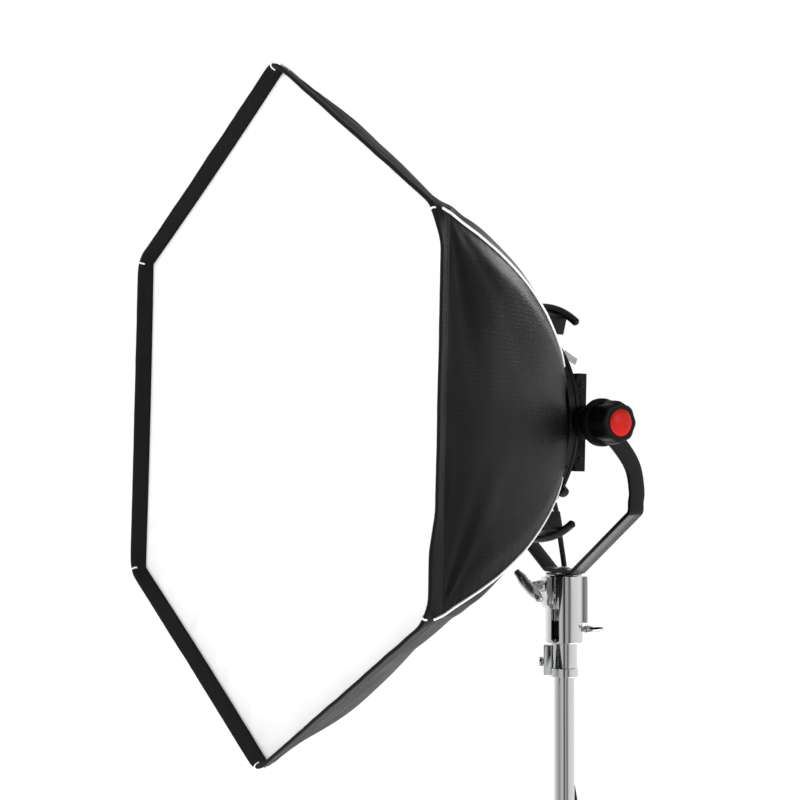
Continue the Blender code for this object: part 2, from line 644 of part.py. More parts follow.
def build_receiver(stand, materials):
    chrome = materials["chrome"]
    low, high = RECEIVER_Z
    r, bore = RECEIVER_RADIUS, SPIGOT_RADIUS + 0.0004
    body = turned([
        (r - 0.002, high), (r, high - 0.002), (r, low + 0.004), (r - 0.003, low),
        (0.006, low), (0.006, low + 0.008), (bore, low + 0.008), (bore, high),
    ], ROUND, closed=True)
    receiver = add_mesh("stand_receiver", body, chrome, stand)
    for name, reach, half, z, heading in (
        ("boss", r + 0.0075, 0.008, (low + 0.028, high - 0.002), BACK_BOSS),
        ("land", r + 0.0050, 0.0115, (low + 0.054, high - 0.002), T_HANDLE[1]),
    ):
        block = box((r - 0.010, reach), (-half, half), z)
        block.transform(Matrix.Rotation(heading, 4, "Z"))
        joined(receiver, block, f"receiver_{name}")
    cut(receiver, turned([(bore, low + 0.008), (bore, high + 0.001)]), "receiver_bore")
    for name, (height, heading) in (("t", T_HANDLE), ("wing", WING_KNOB)):
        cut(receiver, side_bore(SCREW_RADIUS + 0.0004, 0.06, height, heading), f"{name}_screw_hole")

    height, heading = T_HANDLE
    reach = SPIGOT_RADIUS + 0.0015
    handle = turned([
        (SCREW_RADIUS, reach), (SCREW_RADIUS, 0.0335), (0.0085, 0.0345), (0.0075, 0.056),
    ], SMALL)
    obj = screw_at("t_handle", handle, chrome, (0, 0, height), heading, stand)
    grip = turned([(0.004, -0.024), (0.006, -0.020), (0.0075, 0), (0.006, 0.020), (0.004, 0.024)], SMALL, "Y")
    grip.transform(Matrix.Translation((0, 0, 0.057)) @ Matrix.Rotation(T_HANDLE_TURN, 4, "Z"))
    guide = joined(obj, grip, "t_handle_bar").modifiers[-1].object
    guide.location, guide.rotation_euler = obj.location, obj.rotation_euler

    height, heading = WING_KNOB
    knob = turned([(SCREW_RADIUS, reach), (SCREW_RADIUS, 0.030), (0.0055, 0.031), (0.0055, 0.038),
                   (0.0045, 0.040)], SMALL)
    obj = screw_at("wing_knob", knob, chrome, (0, 0, height), heading, stand)
    wing = extruded(((-0.004, 0.032), (0.004, 0.032), (0.010, 0.052), (0.007, 0.058), (0, 0.050),
                     (-0.007, 0.058), (-0.010, 0.052)), -0.002, 0.002, "Y")
    wing.transform(Matrix.Rotation(WING_TURN, 4, "Z"))
    guide = joined(obj, wing, "wing_blades").modifiers[-1].object
    guide.location, guide.rotation_euler = obj.location, obj.rotation_euler


def build_collar(stand, materials):
    chrome = materials["chrome"]
    low, high = COLLAR_Z
    r, bore = COLLAR_RADIUS, RISER_RADIUS + 0.0004
    flange_r, flange_high = COLLAR_FLANGE
    body = turned([
        (r - 0.001, high), (r, high - 0.0015), (r, low + flange_high), (flange_r, low + flange_high - 0.001),
        (flange_r, low + 0.001), (flange_r - 0.001, low), (bore, low), (bore, high),
    ], ROUND, closed=True)
    collar = add_mesh("riser_collar", body, chrome, stand)
    height, heading = COLLAR_KNOB
    lug = box((RISER_RADIUS + 0.0020, LUG_REACH), (-0.0070, 0.0070), (low + 0.001, high - 0.004))
    lug.transform(Matrix.Rotation(heading, 4, "Z"))
    joined(collar, lug, "collar_lug")
    cut(collar, side_bore(SCREW_RADIUS + 0.0004, 0.06, height, heading), "collar_screw_hole")
    knob = turned([
        (SCREW_RADIUS, RISER_RADIUS + GAP), (SCREW_RADIUS, LUG_REACH + GAP), (0.0075, LUG_REACH + 0.0006),
        (0.0075, LUG_REACH + 0.0050), (0.0060, LUG_REACH + 0.0060),
    ], SMALL)
    screw_at("collar_knob", knob, materials["black_rubber"], (0, 0, height), heading, stand)

    top = RECEIVER_Z[0] - GAP
    wall = 0.0015
    riser = turned([
        (RISER_RADIUS, top), (RISER_RADIUS, RISER_BOTTOM), (RISER_RADIUS - wall, RISER_BOTTOM),
        (RISER_RADIUS - wall, top),
    ], ROUND, closed=True)
    add_mesh("riser_tube", riser, chrome, stand)


def build_column(stand, materials):
    chrome = materials["chrome"]
    r, bore = COLUMN_RADIUS, RISER_RADIUS + 0.0008
    low, high = COLUMN_Z
    column = turned([(r, high), (r, low), (bore, low), (bore, high)], ROUND, closed=True)
    column_obj = add_mesh("column_tube", column, chrome, stand)

    base, top = CLAMP_Z
    clamp = turned([
        (r + 0.009, top), (r + 0.011, top - 0.003), (r + 0.011, base + 0.014), (r + 0.006, base),
        (r + GAP, base), (r + GAP, top),
    ], ROUND, closed=True)
    clamp_obj = add_mesh("column_clamp", clamp, materials["black_paint"], stand)
    height, heading = CLAMP_KNOB
    for obj, name in ((column_obj, "column"), (clamp_obj, "clamp")):
        cut(obj, side_bore(SCREW_RADIUS + 0.0004, 0.06, height, heading), f"{name}_screw_hole")

    knob = turned([
        (SCREW_RADIUS, RISER_RADIUS + GAP), (SCREW_RADIUS, 0.031), (0.009, 0.0315), (0.009, 0.036),
        (0.0185, 0.041), (0.0195, 0.050), (0.0165, 0.055),
    ], 24)
    screw_at("clamp_knob", knob, materials["black_rubber"], (0, 0, height), heading, stand)


def build_leg(number, heading, stand, materials):
    """A hub ring on the column, with a bent tube down to the floor that ends in a rubber boot."""
    hub_low = HUB_BOTTOM + (number - 1) * (HUB_HEIGHT + 2 * GAP)
    hub_r, bore = COLUMN_RADIUS + 0.0105, COLUMN_RADIUS + GAP
    middle = hub_low + HUB_HEIGHT / 2
    pivot = empty(f"leg_pivot_{number}", (0, 0, 0), (0, 0, heading), stand)
    hub = turned([
        (hub_r, hub_low + HUB_HEIGHT), (hub_r, hub_low), (bore, hub_low), (bore, hub_low + HUB_HEIGHT),
    ], ROUND, closed=True)
    leg = add_mesh(f"leg_{number}", hub, materials["chrome"], pivot)

    boot = 0.048
    floor_z = FOOT_RADIUS - FOOT_FLAT
    line = smooth_line([Vector(p) for p in (
        (COLUMN_RADIUS + 0.004, 0, middle), (0.060, 0, middle), (0.125, 0, middle - 0.012),
        (0.290, 0, floor_z + 0.4 * (middle - floor_z)), (0.395, 0, floor_z + 0.010), (0.440, 0, floor_z),
        (0.470, 0, floor_z), (LEG_REACH - 0.004, 0, floor_z),
    )], 0.030)
    rings = []
    for i, point in enumerate(line):
        along = (line[min(i + 1, len(line) - 1)] - line[max(i - 1, 0)]).normalized()
        side = Vector((0, 1, 0))
        up = side.cross(along)
        rings.append([point + LEG_RADIUS * (side * math.cos(a) + up * math.sin(a))
                      for a in (2 * math.pi * k / 12 for k in range(12))])
    joined(leg, loft(rings), f"leg_tube_{number}")

    inner = LEG_RADIUS + 2 * GAP
    mouth, tip = LEG_REACH - boot, LEG_REACH + FOOT_RADIUS
    boot_mesh = turned([
        (inner, mouth), (FOOT_RADIUS - 0.002, mouth), (FOOT_RADIUS, mouth + 0.003),
        (FOOT_RADIUS, tip - FOOT_CHAMFER), (FOOT_RADIUS - FOOT_CHAMFER, tip),
        (0.003, tip), (0.003, LEG_REACH - 0.0035), (inner, LEG_REACH - 0.0035),
    ], 24, "X", closed=True)
    for vertex in boot_mesh.verts:
        vertex.co.z = max(vertex.co.z, -floor_z)
    boot_mesh.transform(Matrix.Translation((0, 0, floor_z)))
    add_mesh(f"foot_{number}", boot_mesh, materials["black_rubber"], pivot)


# ---------------------------------------------------------------- power cable
def cable_start(pivot):
    """Where the cable leaves the strain relief, in world space, and its direction there."""
    place = pivot.matrix_world @ (GLAND_START + GLAND_DIRECTION * (GLAND_LENGTH + GAP))
    return place, (pivot.matrix_world.to_3x3() @ GLAND_DIRECTION).normalized()


def strap_outline(clearance, height):
    """A line drawn tight round the riser and the cable behind it."""
    large, small = RISER_RADIUS + clearance, CABLE_RADIUS + clearance
    lean = math.asin((large - small) / TIE_Y)
    ring = []
    for i in range(17):
        angle = math.pi - lean + (math.pi + 2 * lean) * i / 16
        ring.append((large * math.cos(angle), large * math.sin(angle), height))
    for i in range(7):
        angle = lean + (math.pi - 2 * lean) * i / 6
        ring.append((small * math.cos(angle), TIE_Y + small * math.sin(angle), height))
    return ring


def build_cable(stand, pivot, materials):
    """The upper stretch hangs from the lamp to a strap on the riser, and the lower one hangs on from
    the strap to the floor, where the rest lies in a round coil behind the stand.
    """
    rubber = materials["black_rubber"]
    start, heading = cable_start(pivot)
    y = STAND_Y
    middle = sum(TIE_Z) / 2
    coil_x, coil_y = COIL_CENTRE[0] - COIL_RADIUS - COIL_HALF_WIDE, y + COIL_CENTRE[1]
    upper = [
        start,
        start + heading * 0.022,
        Vector((CABLE_X, y + 0.0145, 1.335)),
        Vector((CABLE_X - 0.001, y + 0.0265, 1.262)),
        Vector((CABLE_X - 0.005, y + 0.0315, 1.170)),
        Vector((CABLE_X - 0.010, y + 0.0330, 1.085)),
        Vector((CABLE_X - 0.011, y + 0.0330, 1.020)),
        Vector((CABLE_X - 0.005, y + 0.0340, 0.983)),
        Vector((CABLE_X + 0.009, y + 0.0325, 0.953)),
        Vector((CABLE_X + 0.025, y + 0.0245, 0.932)),
        Vector((0, y + TIE_Y, TIE_Z[1] + 0.001)),
        Vector((0, y + TIE_Y, middle + GAP)),
    ]
    tube("power_cable_upper", smooth_line(upper, 0.020), CABLE_RADIUS, rubber)

    strap = loft([
        strap_outline(0.0024, TIE_Z[0]), strap_outline(0.0024, TIE_Z[1]),
        strap_outline(2 * GAP, TIE_Z[1]), strap_outline(2 * GAP, TIE_Z[0]),
    ], closed=True)
    add_mesh("cable_tie", strap, rubber, stand)

    lower = [
        Vector((0, y + TIE_Y, middle - GAP)),
        Vector((0, y + TIE_Y, TIE_Z[0] + 0.001)),
        Vector((0.001, y + 0.0235, 0.872)),
        Vector((0.004, y + 0.044, 0.780)),
        Vector((0.004, y + 0.056, 0.640)),
        Vector((0.002, y + 0.062, 0.450)),
        Vector((0.000, y + 0.068, 0.260)),
        Vector((-0.004, y + 0.078, 0.130)),
        Vector((-0.012, y + 0.094, 0.050)),
        Vector((-0.026, y + 0.122, 0.012)),
        Vector((-0.041, y + 0.150, CABLE_RADIUS)),
        Vector((coil_x - 0.0065, coil_y - 0.020, CABLE_RADIUS)),
        Vector((coil_x - 0.0045, coil_y, CABLE_RADIUS)),
    ]
    tube("power_cable_lower", smooth_line(lower, 0.026), CABLE_RADIUS, rubber)
    build_coil(rubber)


def build_coil(rubber):
    """The coil's outer shape as one ring, with the plug lying beside it."""
    inner, outer = COIL_RADIUS - COIL_HALF_WIDE, COIL_RADIUS + COIL_HALF_WIDE
    ease = 0.004
    coil = turned([
        (outer - ease, COIL_HEIGHT), (outer, COIL_HEIGHT - ease), (outer, ease), (outer - ease, 0),
        (inner + ease, 0), (inner, ease), (inner, COIL_HEIGHT - ease), (inner + ease, COIL_HEIGHT),
    ], 24, closed=True)
    centre = Vector((COIL_CENTRE[0], STAND_Y + COIL_CENTRE[1], 0))
    obj = add_mesh("cable_coil", coil, rubber)
    obj.location = centre

    plug_place = centre + PLUG_FROM_COIL
    plug = turned([
        (0.0052, 0.0), (0.0065, 0.012), (0.0115, 0.024), (PLUG_RADIUS, 0.032), (PLUG_RADIUS, 0.050),
        (PLUG_RADIUS - 0.001, 0.052),
    ], 20, "Y")
    obj = add_mesh("power_plug", plug, rubber)
    obj.location = plug_place
    obj.rotation_euler = (0, 0, math.pi)
    for side in (-1, 1):
        pin = turned([(0.0024, 0.051), (0.0024, 0.069), (0.0014, 0.070)], 8, "Y")
        pin.transform(Matrix.Translation((side * 0.0095, 0, 0)))
        guide = joined(obj, pin, f"plug_pin_{side + 2}").modifiers[-1].object
        guide.location, guide.rotation_euler = obj.location, obj.rotation_euler


# ---------------------------------------------------------------- assembly
def main():
    clear_scene()
    materials = make_materials()
    yoke = empty("yoke_pivot", (0, TILT_AXIS_Y, TILT_AXIS_HEIGHT))
    pivot = empty("head_pivot", (0, TILT_AXIS_Y, TILT_AXIS_HEIGHT), (-AIM_UP, 0, 0))
    stand = empty("stand_axis", (0, STAND_Y, 0))
    build_softbox(pivot, materials)
    build_speed_ring(pivot, materials)
    build_lamp(pivot, materials)
    build_yoke(yoke, materials)
    build_receiver(stand, materials)
    build_collar(stand, materials)
    build_column(stand, materials)
    for number, degrees in enumerate((-90, *REAR_LEG_ANGLES), 1):
        build_leg(number, math.radians(degrees), stand, materials)
    bpy.context.view_layer.update()
    build_cable(stand, pivot, materials)


main()
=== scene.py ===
"""Looks for the studio softbox: soft goods, finishes, cords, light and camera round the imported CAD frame."""

import json
from math import asin, atan2, cos, exp, hypot, pi, radians, sin, sqrt, tan

import bmesh
import bpy
from mathutils import Matrix, Vector, noise


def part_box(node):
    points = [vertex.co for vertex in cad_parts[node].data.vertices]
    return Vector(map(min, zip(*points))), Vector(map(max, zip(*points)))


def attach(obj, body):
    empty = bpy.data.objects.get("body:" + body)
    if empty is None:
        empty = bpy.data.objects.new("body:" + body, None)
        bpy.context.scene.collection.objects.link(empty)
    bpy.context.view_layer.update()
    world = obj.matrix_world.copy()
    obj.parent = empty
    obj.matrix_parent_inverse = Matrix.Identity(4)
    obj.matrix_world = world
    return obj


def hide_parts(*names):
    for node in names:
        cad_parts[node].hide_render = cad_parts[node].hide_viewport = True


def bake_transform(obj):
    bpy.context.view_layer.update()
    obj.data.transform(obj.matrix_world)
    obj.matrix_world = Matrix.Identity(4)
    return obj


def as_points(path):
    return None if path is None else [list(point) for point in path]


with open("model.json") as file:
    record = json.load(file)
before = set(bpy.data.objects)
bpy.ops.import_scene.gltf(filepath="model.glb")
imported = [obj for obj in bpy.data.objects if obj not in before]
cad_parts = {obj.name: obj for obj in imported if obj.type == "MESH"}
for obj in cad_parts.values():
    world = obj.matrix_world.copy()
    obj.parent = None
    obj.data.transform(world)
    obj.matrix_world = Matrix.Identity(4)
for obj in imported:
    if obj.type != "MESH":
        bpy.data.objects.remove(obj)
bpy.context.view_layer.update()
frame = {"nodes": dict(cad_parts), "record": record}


# ---------------------------------------------------------------- where things are, read from the frame
def middle(node):
    low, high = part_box(node)
    return (low + high) / 2


PIVOT = middle("pivot_shaft_right")
PIVOT.x = 0.0
STAND_Y = middle("riser_tube").y
RIM_MOUNT = next(m for m in frame["record"]["mounts"] if m["name"] == "front_rim")
AIM_UP = atan2(RIM_MOUNT["axis"][2], -RIM_MOUNT["axis"][1])
HEAD = Matrix.Translation(PIVOT) @ Matrix.Rotation(-AIM_UP, 4, "X")
STAND = Matrix.Translation((0, STAND_Y, 0))

# sizes shared with the CAD model
RIM_TO_PIVOT = 0.425
RIM_RADIUS = 0.475
SHELL_ARC = ((0.0, RIM_RADIUS), (0.22, 0.336), (0.40, 0.147))
SHELL_WALL = 0.003
SHELL_END = 0.3965
HEM_DEPTH = 0.025
DIFFUSER_DEPTH = 0.0195
BAFFLE_DEPTH = 0.190
RISER_RADIUS = 0.015
CABLE_RADIUS = 0.004
GAP = 0.0004                  # air between touching pieces
SHARP = 28                    # edges that turn by more degrees than this stay crisp


# ---------------------------------------------------------------- materials
def principled(name, colour, roughness, metallic=0.0, **sockets):
    material = bpy.data.materials.new(name)
    material.use_nodes = True
    shader = material.node_tree.nodes["Principled BSDF"]
    shader.inputs["Base Color"].default_value = (*colour, 1)
    shader.inputs["Roughness"].default_value = roughness
    shader.inputs["Metallic"].default_value = metallic
    for socket, value in sockets.items():
        shader.inputs[socket.replace("_", " ")].default_value = value
    return material


def feed(material, socket, value):
    """Gives a socket a link or a value."""
    if isinstance(value, bpy.types.NodeSocket):
        material.node_tree.links.new(value, socket)
    else:
        socket.default_value = value


def node(material, kind, **inputs):
    made = material.node_tree.nodes.new(kind)
    for key, value in inputs.items():
        feed(material, made.inputs[key.replace("_", " ")], value)
    return made


def math_node(material, operation, a, b=0.0):
    made = material.node_tree.nodes.new("ShaderNodeMath")
    made.operation = operation
    for socket, value in zip(made.inputs, (a, b)):
        feed(material, socket, value)
    return made.outputs[0]


def shader_of(material):
    return material.node_tree.nodes["Principled BSDF"]


def add_bump(material, height, strength, distance):
    bump = node(material, "ShaderNodeBump", Height=height, Strength=strength, Distance=distance)
    material.node_tree.links.new(bump.outputs["Normal"], shader_of(material).inputs["Normal"])


def fine_noise(material, scale, detail=3.0, coordinates="Object", stretch=(1, 1, 1)):
    source = node(material, "ShaderNodeTexCoord").outputs[coordinates]
    mapping = node(material, "ShaderNodeMapping", Vector=source, Scale=stretch)
    texture = node(material, "ShaderNodeTexNoise", Vector=mapping.outputs[0], Scale=scale, Detail=detail)
    return texture.outputs["Fac"]


def ramp(material, factor, stops):
    made = node(material, "ShaderNodeValToRGB", Fac=factor)
    elements = made.color_ramp.elements
    while len(elements) < len(stops):
        elements.new(0.5)
    for element, (place, colour) in zip(elements, stops):
        element.position = place
        element.color = (*colour, 1)
    return made.outputs["Color"]


def grained(material, scale, strength, distance, **kwargs):
    """Fine unevenness, as cast and moulded surfaces have."""
    add_bump(material, fine_noise(material, scale, **kwargs), strength, distance)
    return material


def woven(name, colour, light, roughness, pitch, check, strength, **sockets):
    """Cloth over UVs in metres: a plain weave, with a heavier thread every check metres if check is set."""
    material = principled(name, colour, roughness, **sockets)
    uv = node(material, "ShaderNodeTexCoord").outputs["UV"]
    parts = node(material, "ShaderNodeSeparateXYZ", Vector=uv)
    waves = [math_node(material, "SINE", math_node(material, "MULTIPLY", parts.outputs[axis], 2 * pi / pitch))
             for axis in (0, 1)]
    weave = math_node(material, "MULTIPLY", waves[0], waves[1])
    height = math_node(material, "MULTIPLY", weave, 0.25)
    cloudy = fine_noise(material, 9.0, 4.0, "UV")
    if check:
        lines = [math_node(material, "LESS_THAN", math_node(material, "FRACT", math_node(
            material, "DIVIDE", parts.outputs[axis], check)), 0.12) for axis in (0, 1)]
        grid = math_node(material, "MAXIMUM", *lines)
        height = math_node(material, "ADD", height, math_node(material, "MULTIPLY", grid, 0.75))
        cloudy = math_node(material, "ADD", cloudy, math_node(material, "MULTIPLY", grid, 0.14))
    mixed = ramp(material, cloudy, ((0.3, colour), (0.85, light)))
    material.node_tree.links.new(mixed, shader_of(material).inputs["Base Color"])
    add_bump(material, height, strength, 0.0003)
    return material


def brushed(name, colour, roughness, stretch):
    material = principled(name, colour, roughness, 1.0)
    streaks = fine_noise(material, 60, 2.0, stretch=stretch)
    spread = math_node(material, "MULTIPLY", streaks, 0.10)
    total = math_node(material, "ADD", spread, roughness - 0.04)
    material.node_tree.links.new(total, shader_of(material).inputs["Roughness"])
    return material


MAT = {
    "shell": woven("black_ripstop", (0.0040, 0.0040, 0.0041), (0.0070, 0.0070, 0.0071), 0.40, 0.0011,
                   0.0052, 0.35, Sheen_Weight=0.004, Sheen_Roughness=0.45, Specular_IOR_Level=0.035),
    "lining": woven("silver_lining", (0.50, 0.50, 0.51), (0.62, 0.62, 0.63), 0.38, 0.004, 0, 0.5,
                    Metallic=0.8),
    "hem": woven("black_hem", (0.0042, 0.0042, 0.0044), (0.0070, 0.0070, 0.0072), 0.60, 0.0012, 0, 0.5,
                 Sheen_Weight=0.015, Sheen_Roughness=0.5, Specular_IOR_Level=0.14),
    "web": woven("black_webbing", (0.008, 0.008, 0.0085), (0.014, 0.014, 0.0145), 0.7, 0.0016, 0, 0.8,
                 Sheen_Weight=0.03, Specular_IOR_Level=0.15),
    "piping": woven("white_piping", (0.80, 0.80, 0.79), (0.88, 0.88, 0.87), 0.7, 0.0008, 0, 0.5),
    "diffuser": woven("diffuser_cloth", (0.84, 0.84, 0.835), (0.90, 0.90, 0.895), 0.85, 0.0011, 0, 0.3),
    "grey_web": woven("grey_webbing", (0.50, 0.50, 0.49), (0.62, 0.62, 0.61), 0.75, 0.0013, 0, 0.8),
    "paint": grained(principled("satin_black_paint", (0.0070, 0.0070, 0.0072), 0.30, Specular_IOR_Level=0.24),
                     900, 0.10, 0.0002),
    "gloss": grained(principled("semigloss_black_paint", (0.0070, 0.0070, 0.0072), 0.26,
                                Specular_IOR_Level=0.20), 900, 0.08, 0.0002),
    "cast": grained(principled("black_cast_metal", (0.0040, 0.0040, 0.0042), 0.48, Specular_IOR_Level=0.18),
                    1400, 0.18, 0.0003),
    "rubber": grained(principled("black_rubber", (0.0045, 0.0045, 0.0045), 0.40, Specular_IOR_Level=0.16),
                      1100, 0.14, 0.0003),
    "cable": grained(principled("black_cable_jacket", (0.009, 0.009, 0.009), 0.44, Specular_IOR_Level=0.3),
                     700, 0.08, 0.0002),
    "plastic": grained(principled("black_moulded_plastic", (0.0035, 0.0035, 0.0035), 0.36,
                                  Specular_IOR_Level=0.09), 1300, 0.15, 0.0002),
    "screw": principled("blackened_screw", (0.012, 0.012, 0.012), 0.42, 0.6),
    "red": principled("red_gloss_plastic", (0.46, 0.010, 0.006), 0.30, Specular_IOR_Level=0.15),
    "chrome": brushed("polished_chrome", (0.78, 0.79, 0.80), 0.07, (1, 1, 6)),
    "satin": brushed("satin_chrome", (0.86, 0.86, 0.87), 0.24, (1, 1, 3)),
    "steel": brushed("plain_steel", (0.55, 0.55, 0.56), 0.26, (1, 1, 5)),
    "aluminium": brushed("bare_aluminium", (0.62, 0.62, 0.63), 0.30, (1, 1, 5)),
    "led": grained(principled("led_phosphor", (0.78, 0.62, 0.12), 0.5), 500, 0.2, 0.0004),
    "lens": principled("clear_lens", (0.95, 0.96, 0.97), 0.04, Transmission_Weight=1.0, IOR=1.49),
    # near-black painted shade, used for the bottom of the collar knob's socket
    "dark": principled("painted_recess_shade", (0.004, 0.004, 0.004), 0.8),
}
SLOTS = {
    "black_fabric": "hem", "white_fabric": "diffuser", "grey_fabric": "grey_web", "black_paint": "paint",
    "black_rubber": "rubber", "black_plastic": "plastic", "red_plastic": "red", "chrome": "chrome",
    "steel": "steel", "aluminium": "aluminium", "led_face": "led", "clear_lens": "lens",
}


# ---------------------------------------------------------------- mesh helpers
def shade(mesh, degrees=SHARP):
    """Smooth shading that leaves the edges that turn by more than some degrees crisp."""
    mesh.shade_smooth()
    mesh.set_sharp_from_angle(angle=radians(degrees))


def aimed(direction):
    """The turn that takes +Z to a direction."""
    return Vector(direction).to_track_quat("Z", "Y").to_matrix().to_4x4()


def outward(degrees):
    """A direction square to the lamp's axis, by its angle from +X towards +Z."""
    return Vector((cos(radians(degrees)), 0, sin(radians(degrees))))


def mesh_object(name, points, faces, material, matrix=None, uvs=None, smooth=45):
    mesh = bpy.data.meshes.new(name)
    mesh.from_pydata([tuple(p) for p in points], [], faces)
    if uvs is not None:
        layer = mesh.uv_layers.new(name="UVMap")
        for loop in mesh.loops:
            layer.data[loop.index].uv = uvs[loop.vertex_index]
    mesh.materials.append(MAT[material])
    mesh.update()
    mesh.shade_smooth()
    if smooth < 180:
        mesh.set_sharp_from_angle(angle=radians(smooth))
    obj = bpy.data.objects.new(name, mesh)
    bpy.context.scene.collection.objects.link(obj)
    if matrix is not None:
        obj.matrix_world = matrix
    return obj


def face_out(obj):
    work = bmesh.new()
    work.from_mesh(obj.data)
    bmesh.ops.recalc_face_normals(work, faces=work.faces)
    work.to_mesh(obj.data)
    work.free()
    return obj


def ring_uvs(rings):
    """UVs in metres: the way round a ring, and the way along the rings."""
    uvs, along = [], 0.0
    for k, ring in enumerate(rings):
        if k:
            along += (Vector(ring[0]) - Vector(rings[k - 1][0])).length
        around = 0.0
        for i, point in enumerate(ring):
            if i:
                around += (Vector(point) - Vector(ring[i - 1])).length
            uvs.append((around, along))
    return uvs


def skin(name, rings, material, matrix=None, closed=False, caps=True, smooth=30):
    """A tube-like surface through rings of points."""
    count = len(rings[0])
    points = [p for ring in rings for p in ring]
    pairs = list(zip(range(len(rings)), range(1, len(rings))))
    if closed:
        pairs.append((len(rings) - 1, 0))
    faces = [(a * count + i, a * count + (i + 1) % count, b * count + (i + 1) % count, b * count + i)
             for a, b in pairs for i in range(count)]
    if not closed and caps:
        faces += [tuple(range(count)), tuple(range((len(rings) - 1) * count, len(rings) * count))]
    return face_out(mesh_object(name, points, faces, material, matrix, ring_uvs(rings), smooth))


def circle(radius, height, sides, axis):
    ring = []
    for i in range(sides):
        angle = 2 * pi * i / sides
        a, b = radius * cos(angle), radius * sin(angle)
        ring.append({"X": (height, a, b), "Y": (a, height, b), "Z": (a, b, height)}[axis])
    return ring


def turned(name, profile, material, matrix=None, axis="Z", closed=False, sides=96):
    return skin(name, [circle(r, h, sides, axis) for r, h in profile], material, matrix, closed)


def extruded(name, outline, low, high, material, matrix=None, axis="Y"):
    place = {"X": lambda a, b, c: (c, a, b),
             "Y": lambda a, b, c: (a, c, b),
             "Z": lambda a, b, c: (a, b, c)}[axis]
    return skin(name, [[place(a, b, c) for a, b in outline] for c in (low, high)], material, matrix)


def block(name, x, y, z, material, matrix=None):
    return extruded(name, ((x[0], z[0]), (x[1], z[0]), (x[1], z[1]), (x[0], z[1])), *y, material, matrix)


def settle(obj):
    """Applies an object's modifiers."""
    bpy.context.view_layer.update()
    graph = bpy.context.evaluated_depsgraph_get()
    mesh = bpy.data.meshes.new_from_object(obj.evaluated_get(graph))
    obj.modifiers.clear()
    obj.data = mesh
    return obj


def eased(obj, width, segments=3, angle=32):
    """Rounds the sharp edges, so that they catch the light."""
    bevel = obj.modifiers.new("ease", "BEVEL")
    bevel.width = width
    bevel.segments = segments
    bevel.limit_method = "ANGLE"
    bevel.angle_limit = radians(angle)
    bevel.use_clamp_overlap = True
    settle(obj)
    shade(obj.data)
    return obj


def carve(obj, cutter, operation="DIFFERENCE"):
    modifier = obj.modifiers.new("carve", "BOOLEAN")
    modifier.operation = operation
    modifier.object = cutter
    settle(obj)
    bpy.data.objects.remove(cutter, do_unlink=True)
    return obj


def merge(name, objects, sharp=SHARP):
    """Joins objects into the first one, which takes the name."""
    first = objects[0]
    work = bmesh.new()
    materials = []
    for obj in objects:
        for material in obj.data.materials:
            if material not in materials:
                materials.append(material)
    for obj in objects:
        copy = obj.data.copy()
        copy.transform(first.matrix_world.inverted() @ obj.matrix_world)
        index = [materials.index(m) for m in obj.data.materials]
        for face in copy.polygons:
            face.material_index = index[face.material_index]
        work.from_mesh(copy)
        bpy.data.meshes.remove(copy)
    for obj in objects[1:]:
        bpy.data.objects.remove(obj, do_unlink=True)
    mesh = bpy.data.meshes.new(name)
    work.to_mesh(mesh)
    work.free()
    for material in materials:
        mesh.materials.append(material)
    first.data = mesh
    first.name = name
    shade(mesh, sharp)
    return first


def smooth_line(points, spacing):
    """A Catmull-Rom curve through the points, sampled about every spacing."""
    points = [Vector(p) for p in points]
    ends = [2 * points[0] - points[1], *points, 2 * points[-1] - points[-2]]
    line = []
    for a, b, c, d in zip(ends, ends[1:], ends[2:], ends[3:]):
        steps = max(1, round((c - b).length / spacing))
        for i in range(steps):
            t = i / steps
            line.append(0.5 * (2 * b + (c - a) * t + (2 * a - 5 * b + 4 * c - d) * t * t
                               + (3 * b - a - 3 * c + d) * t ** 3))
    return [*line, points[-1]]


def frames_along(line, up):
    """(point, side, normal) along a line, turning as little as it can."""
    found, side = [], None
    for i, point in enumerate(line):
        along = (line[min(i + 1, len(line) - 1)] - line[max(i - 1, 0)]).normalized()
        start = up.cross(along) if side is None else side
        side = (start - along * start.dot(along)).normalized()
        found.append((point, side, along.cross(side)))
    return found


def swept(name, line, section, material, matrix=None, up=Vector((0, 0, 1)), closed=False, caps=True):
    """A section of (side, normal) pairs, or a function of the share that gives them, carried along a line."""
    rings = []
    count = len(line)
    for k, (point, side, normal) in enumerate(frames_along(line, up)):
        pairs = section(k / (count - 1)) if callable(section) else section
        rings.append([point + side * a + normal * b for a, b in pairs])
    return skin(name, rings, material, matrix, closed, caps)


def disc_section(radius, sides=16):
    return [(radius * cos(2 * pi * i / sides), radius * sin(2 * pi * i / sides))
            for i in range(sides)]


def only_material(obj, material):
    obj.data.materials.clear()
    obj.data.materials.append(material)


def place(obj, body, slot, *nodes):
    """The piece rides on a body and stands for its CAD nodes, which are hidden; the slot is not used."""
    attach(obj, body)
    if nodes:
        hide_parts(*nodes)
    return obj


# ---------------------------------------------------------------- camera
LENS, SENSOR = 80.81, 36.0
AZIMUTH, PITCH = radians(58.237), radians(0.715)
CAMERA_FROM_RIM = Vector((2.1185, -1.0979, 0))
rim_centre = Vector((0, PIVOT.y - RIM_TO_PIVOT, PIVOT.z))
camera_data = bpy.data.cameras.new("camera")
camera_data.lens = LENS
camera_data.sensor_width = SENSOR
camera = bpy.data.objects.new("camera", camera_data)
bpy.context.scene.collection.objects.link(camera)
camera.location = rim_centre + CAMERA_FROM_RIM
looking = Vector((-sin(AZIMUTH) * cos(PITCH), cos(AZIMUTH) * cos(PITCH), sin(PITCH)))
camera.rotation_euler = looking.to_track_quat("-Z", "Y").to_euler()
bpy.context.scene.camera = camera


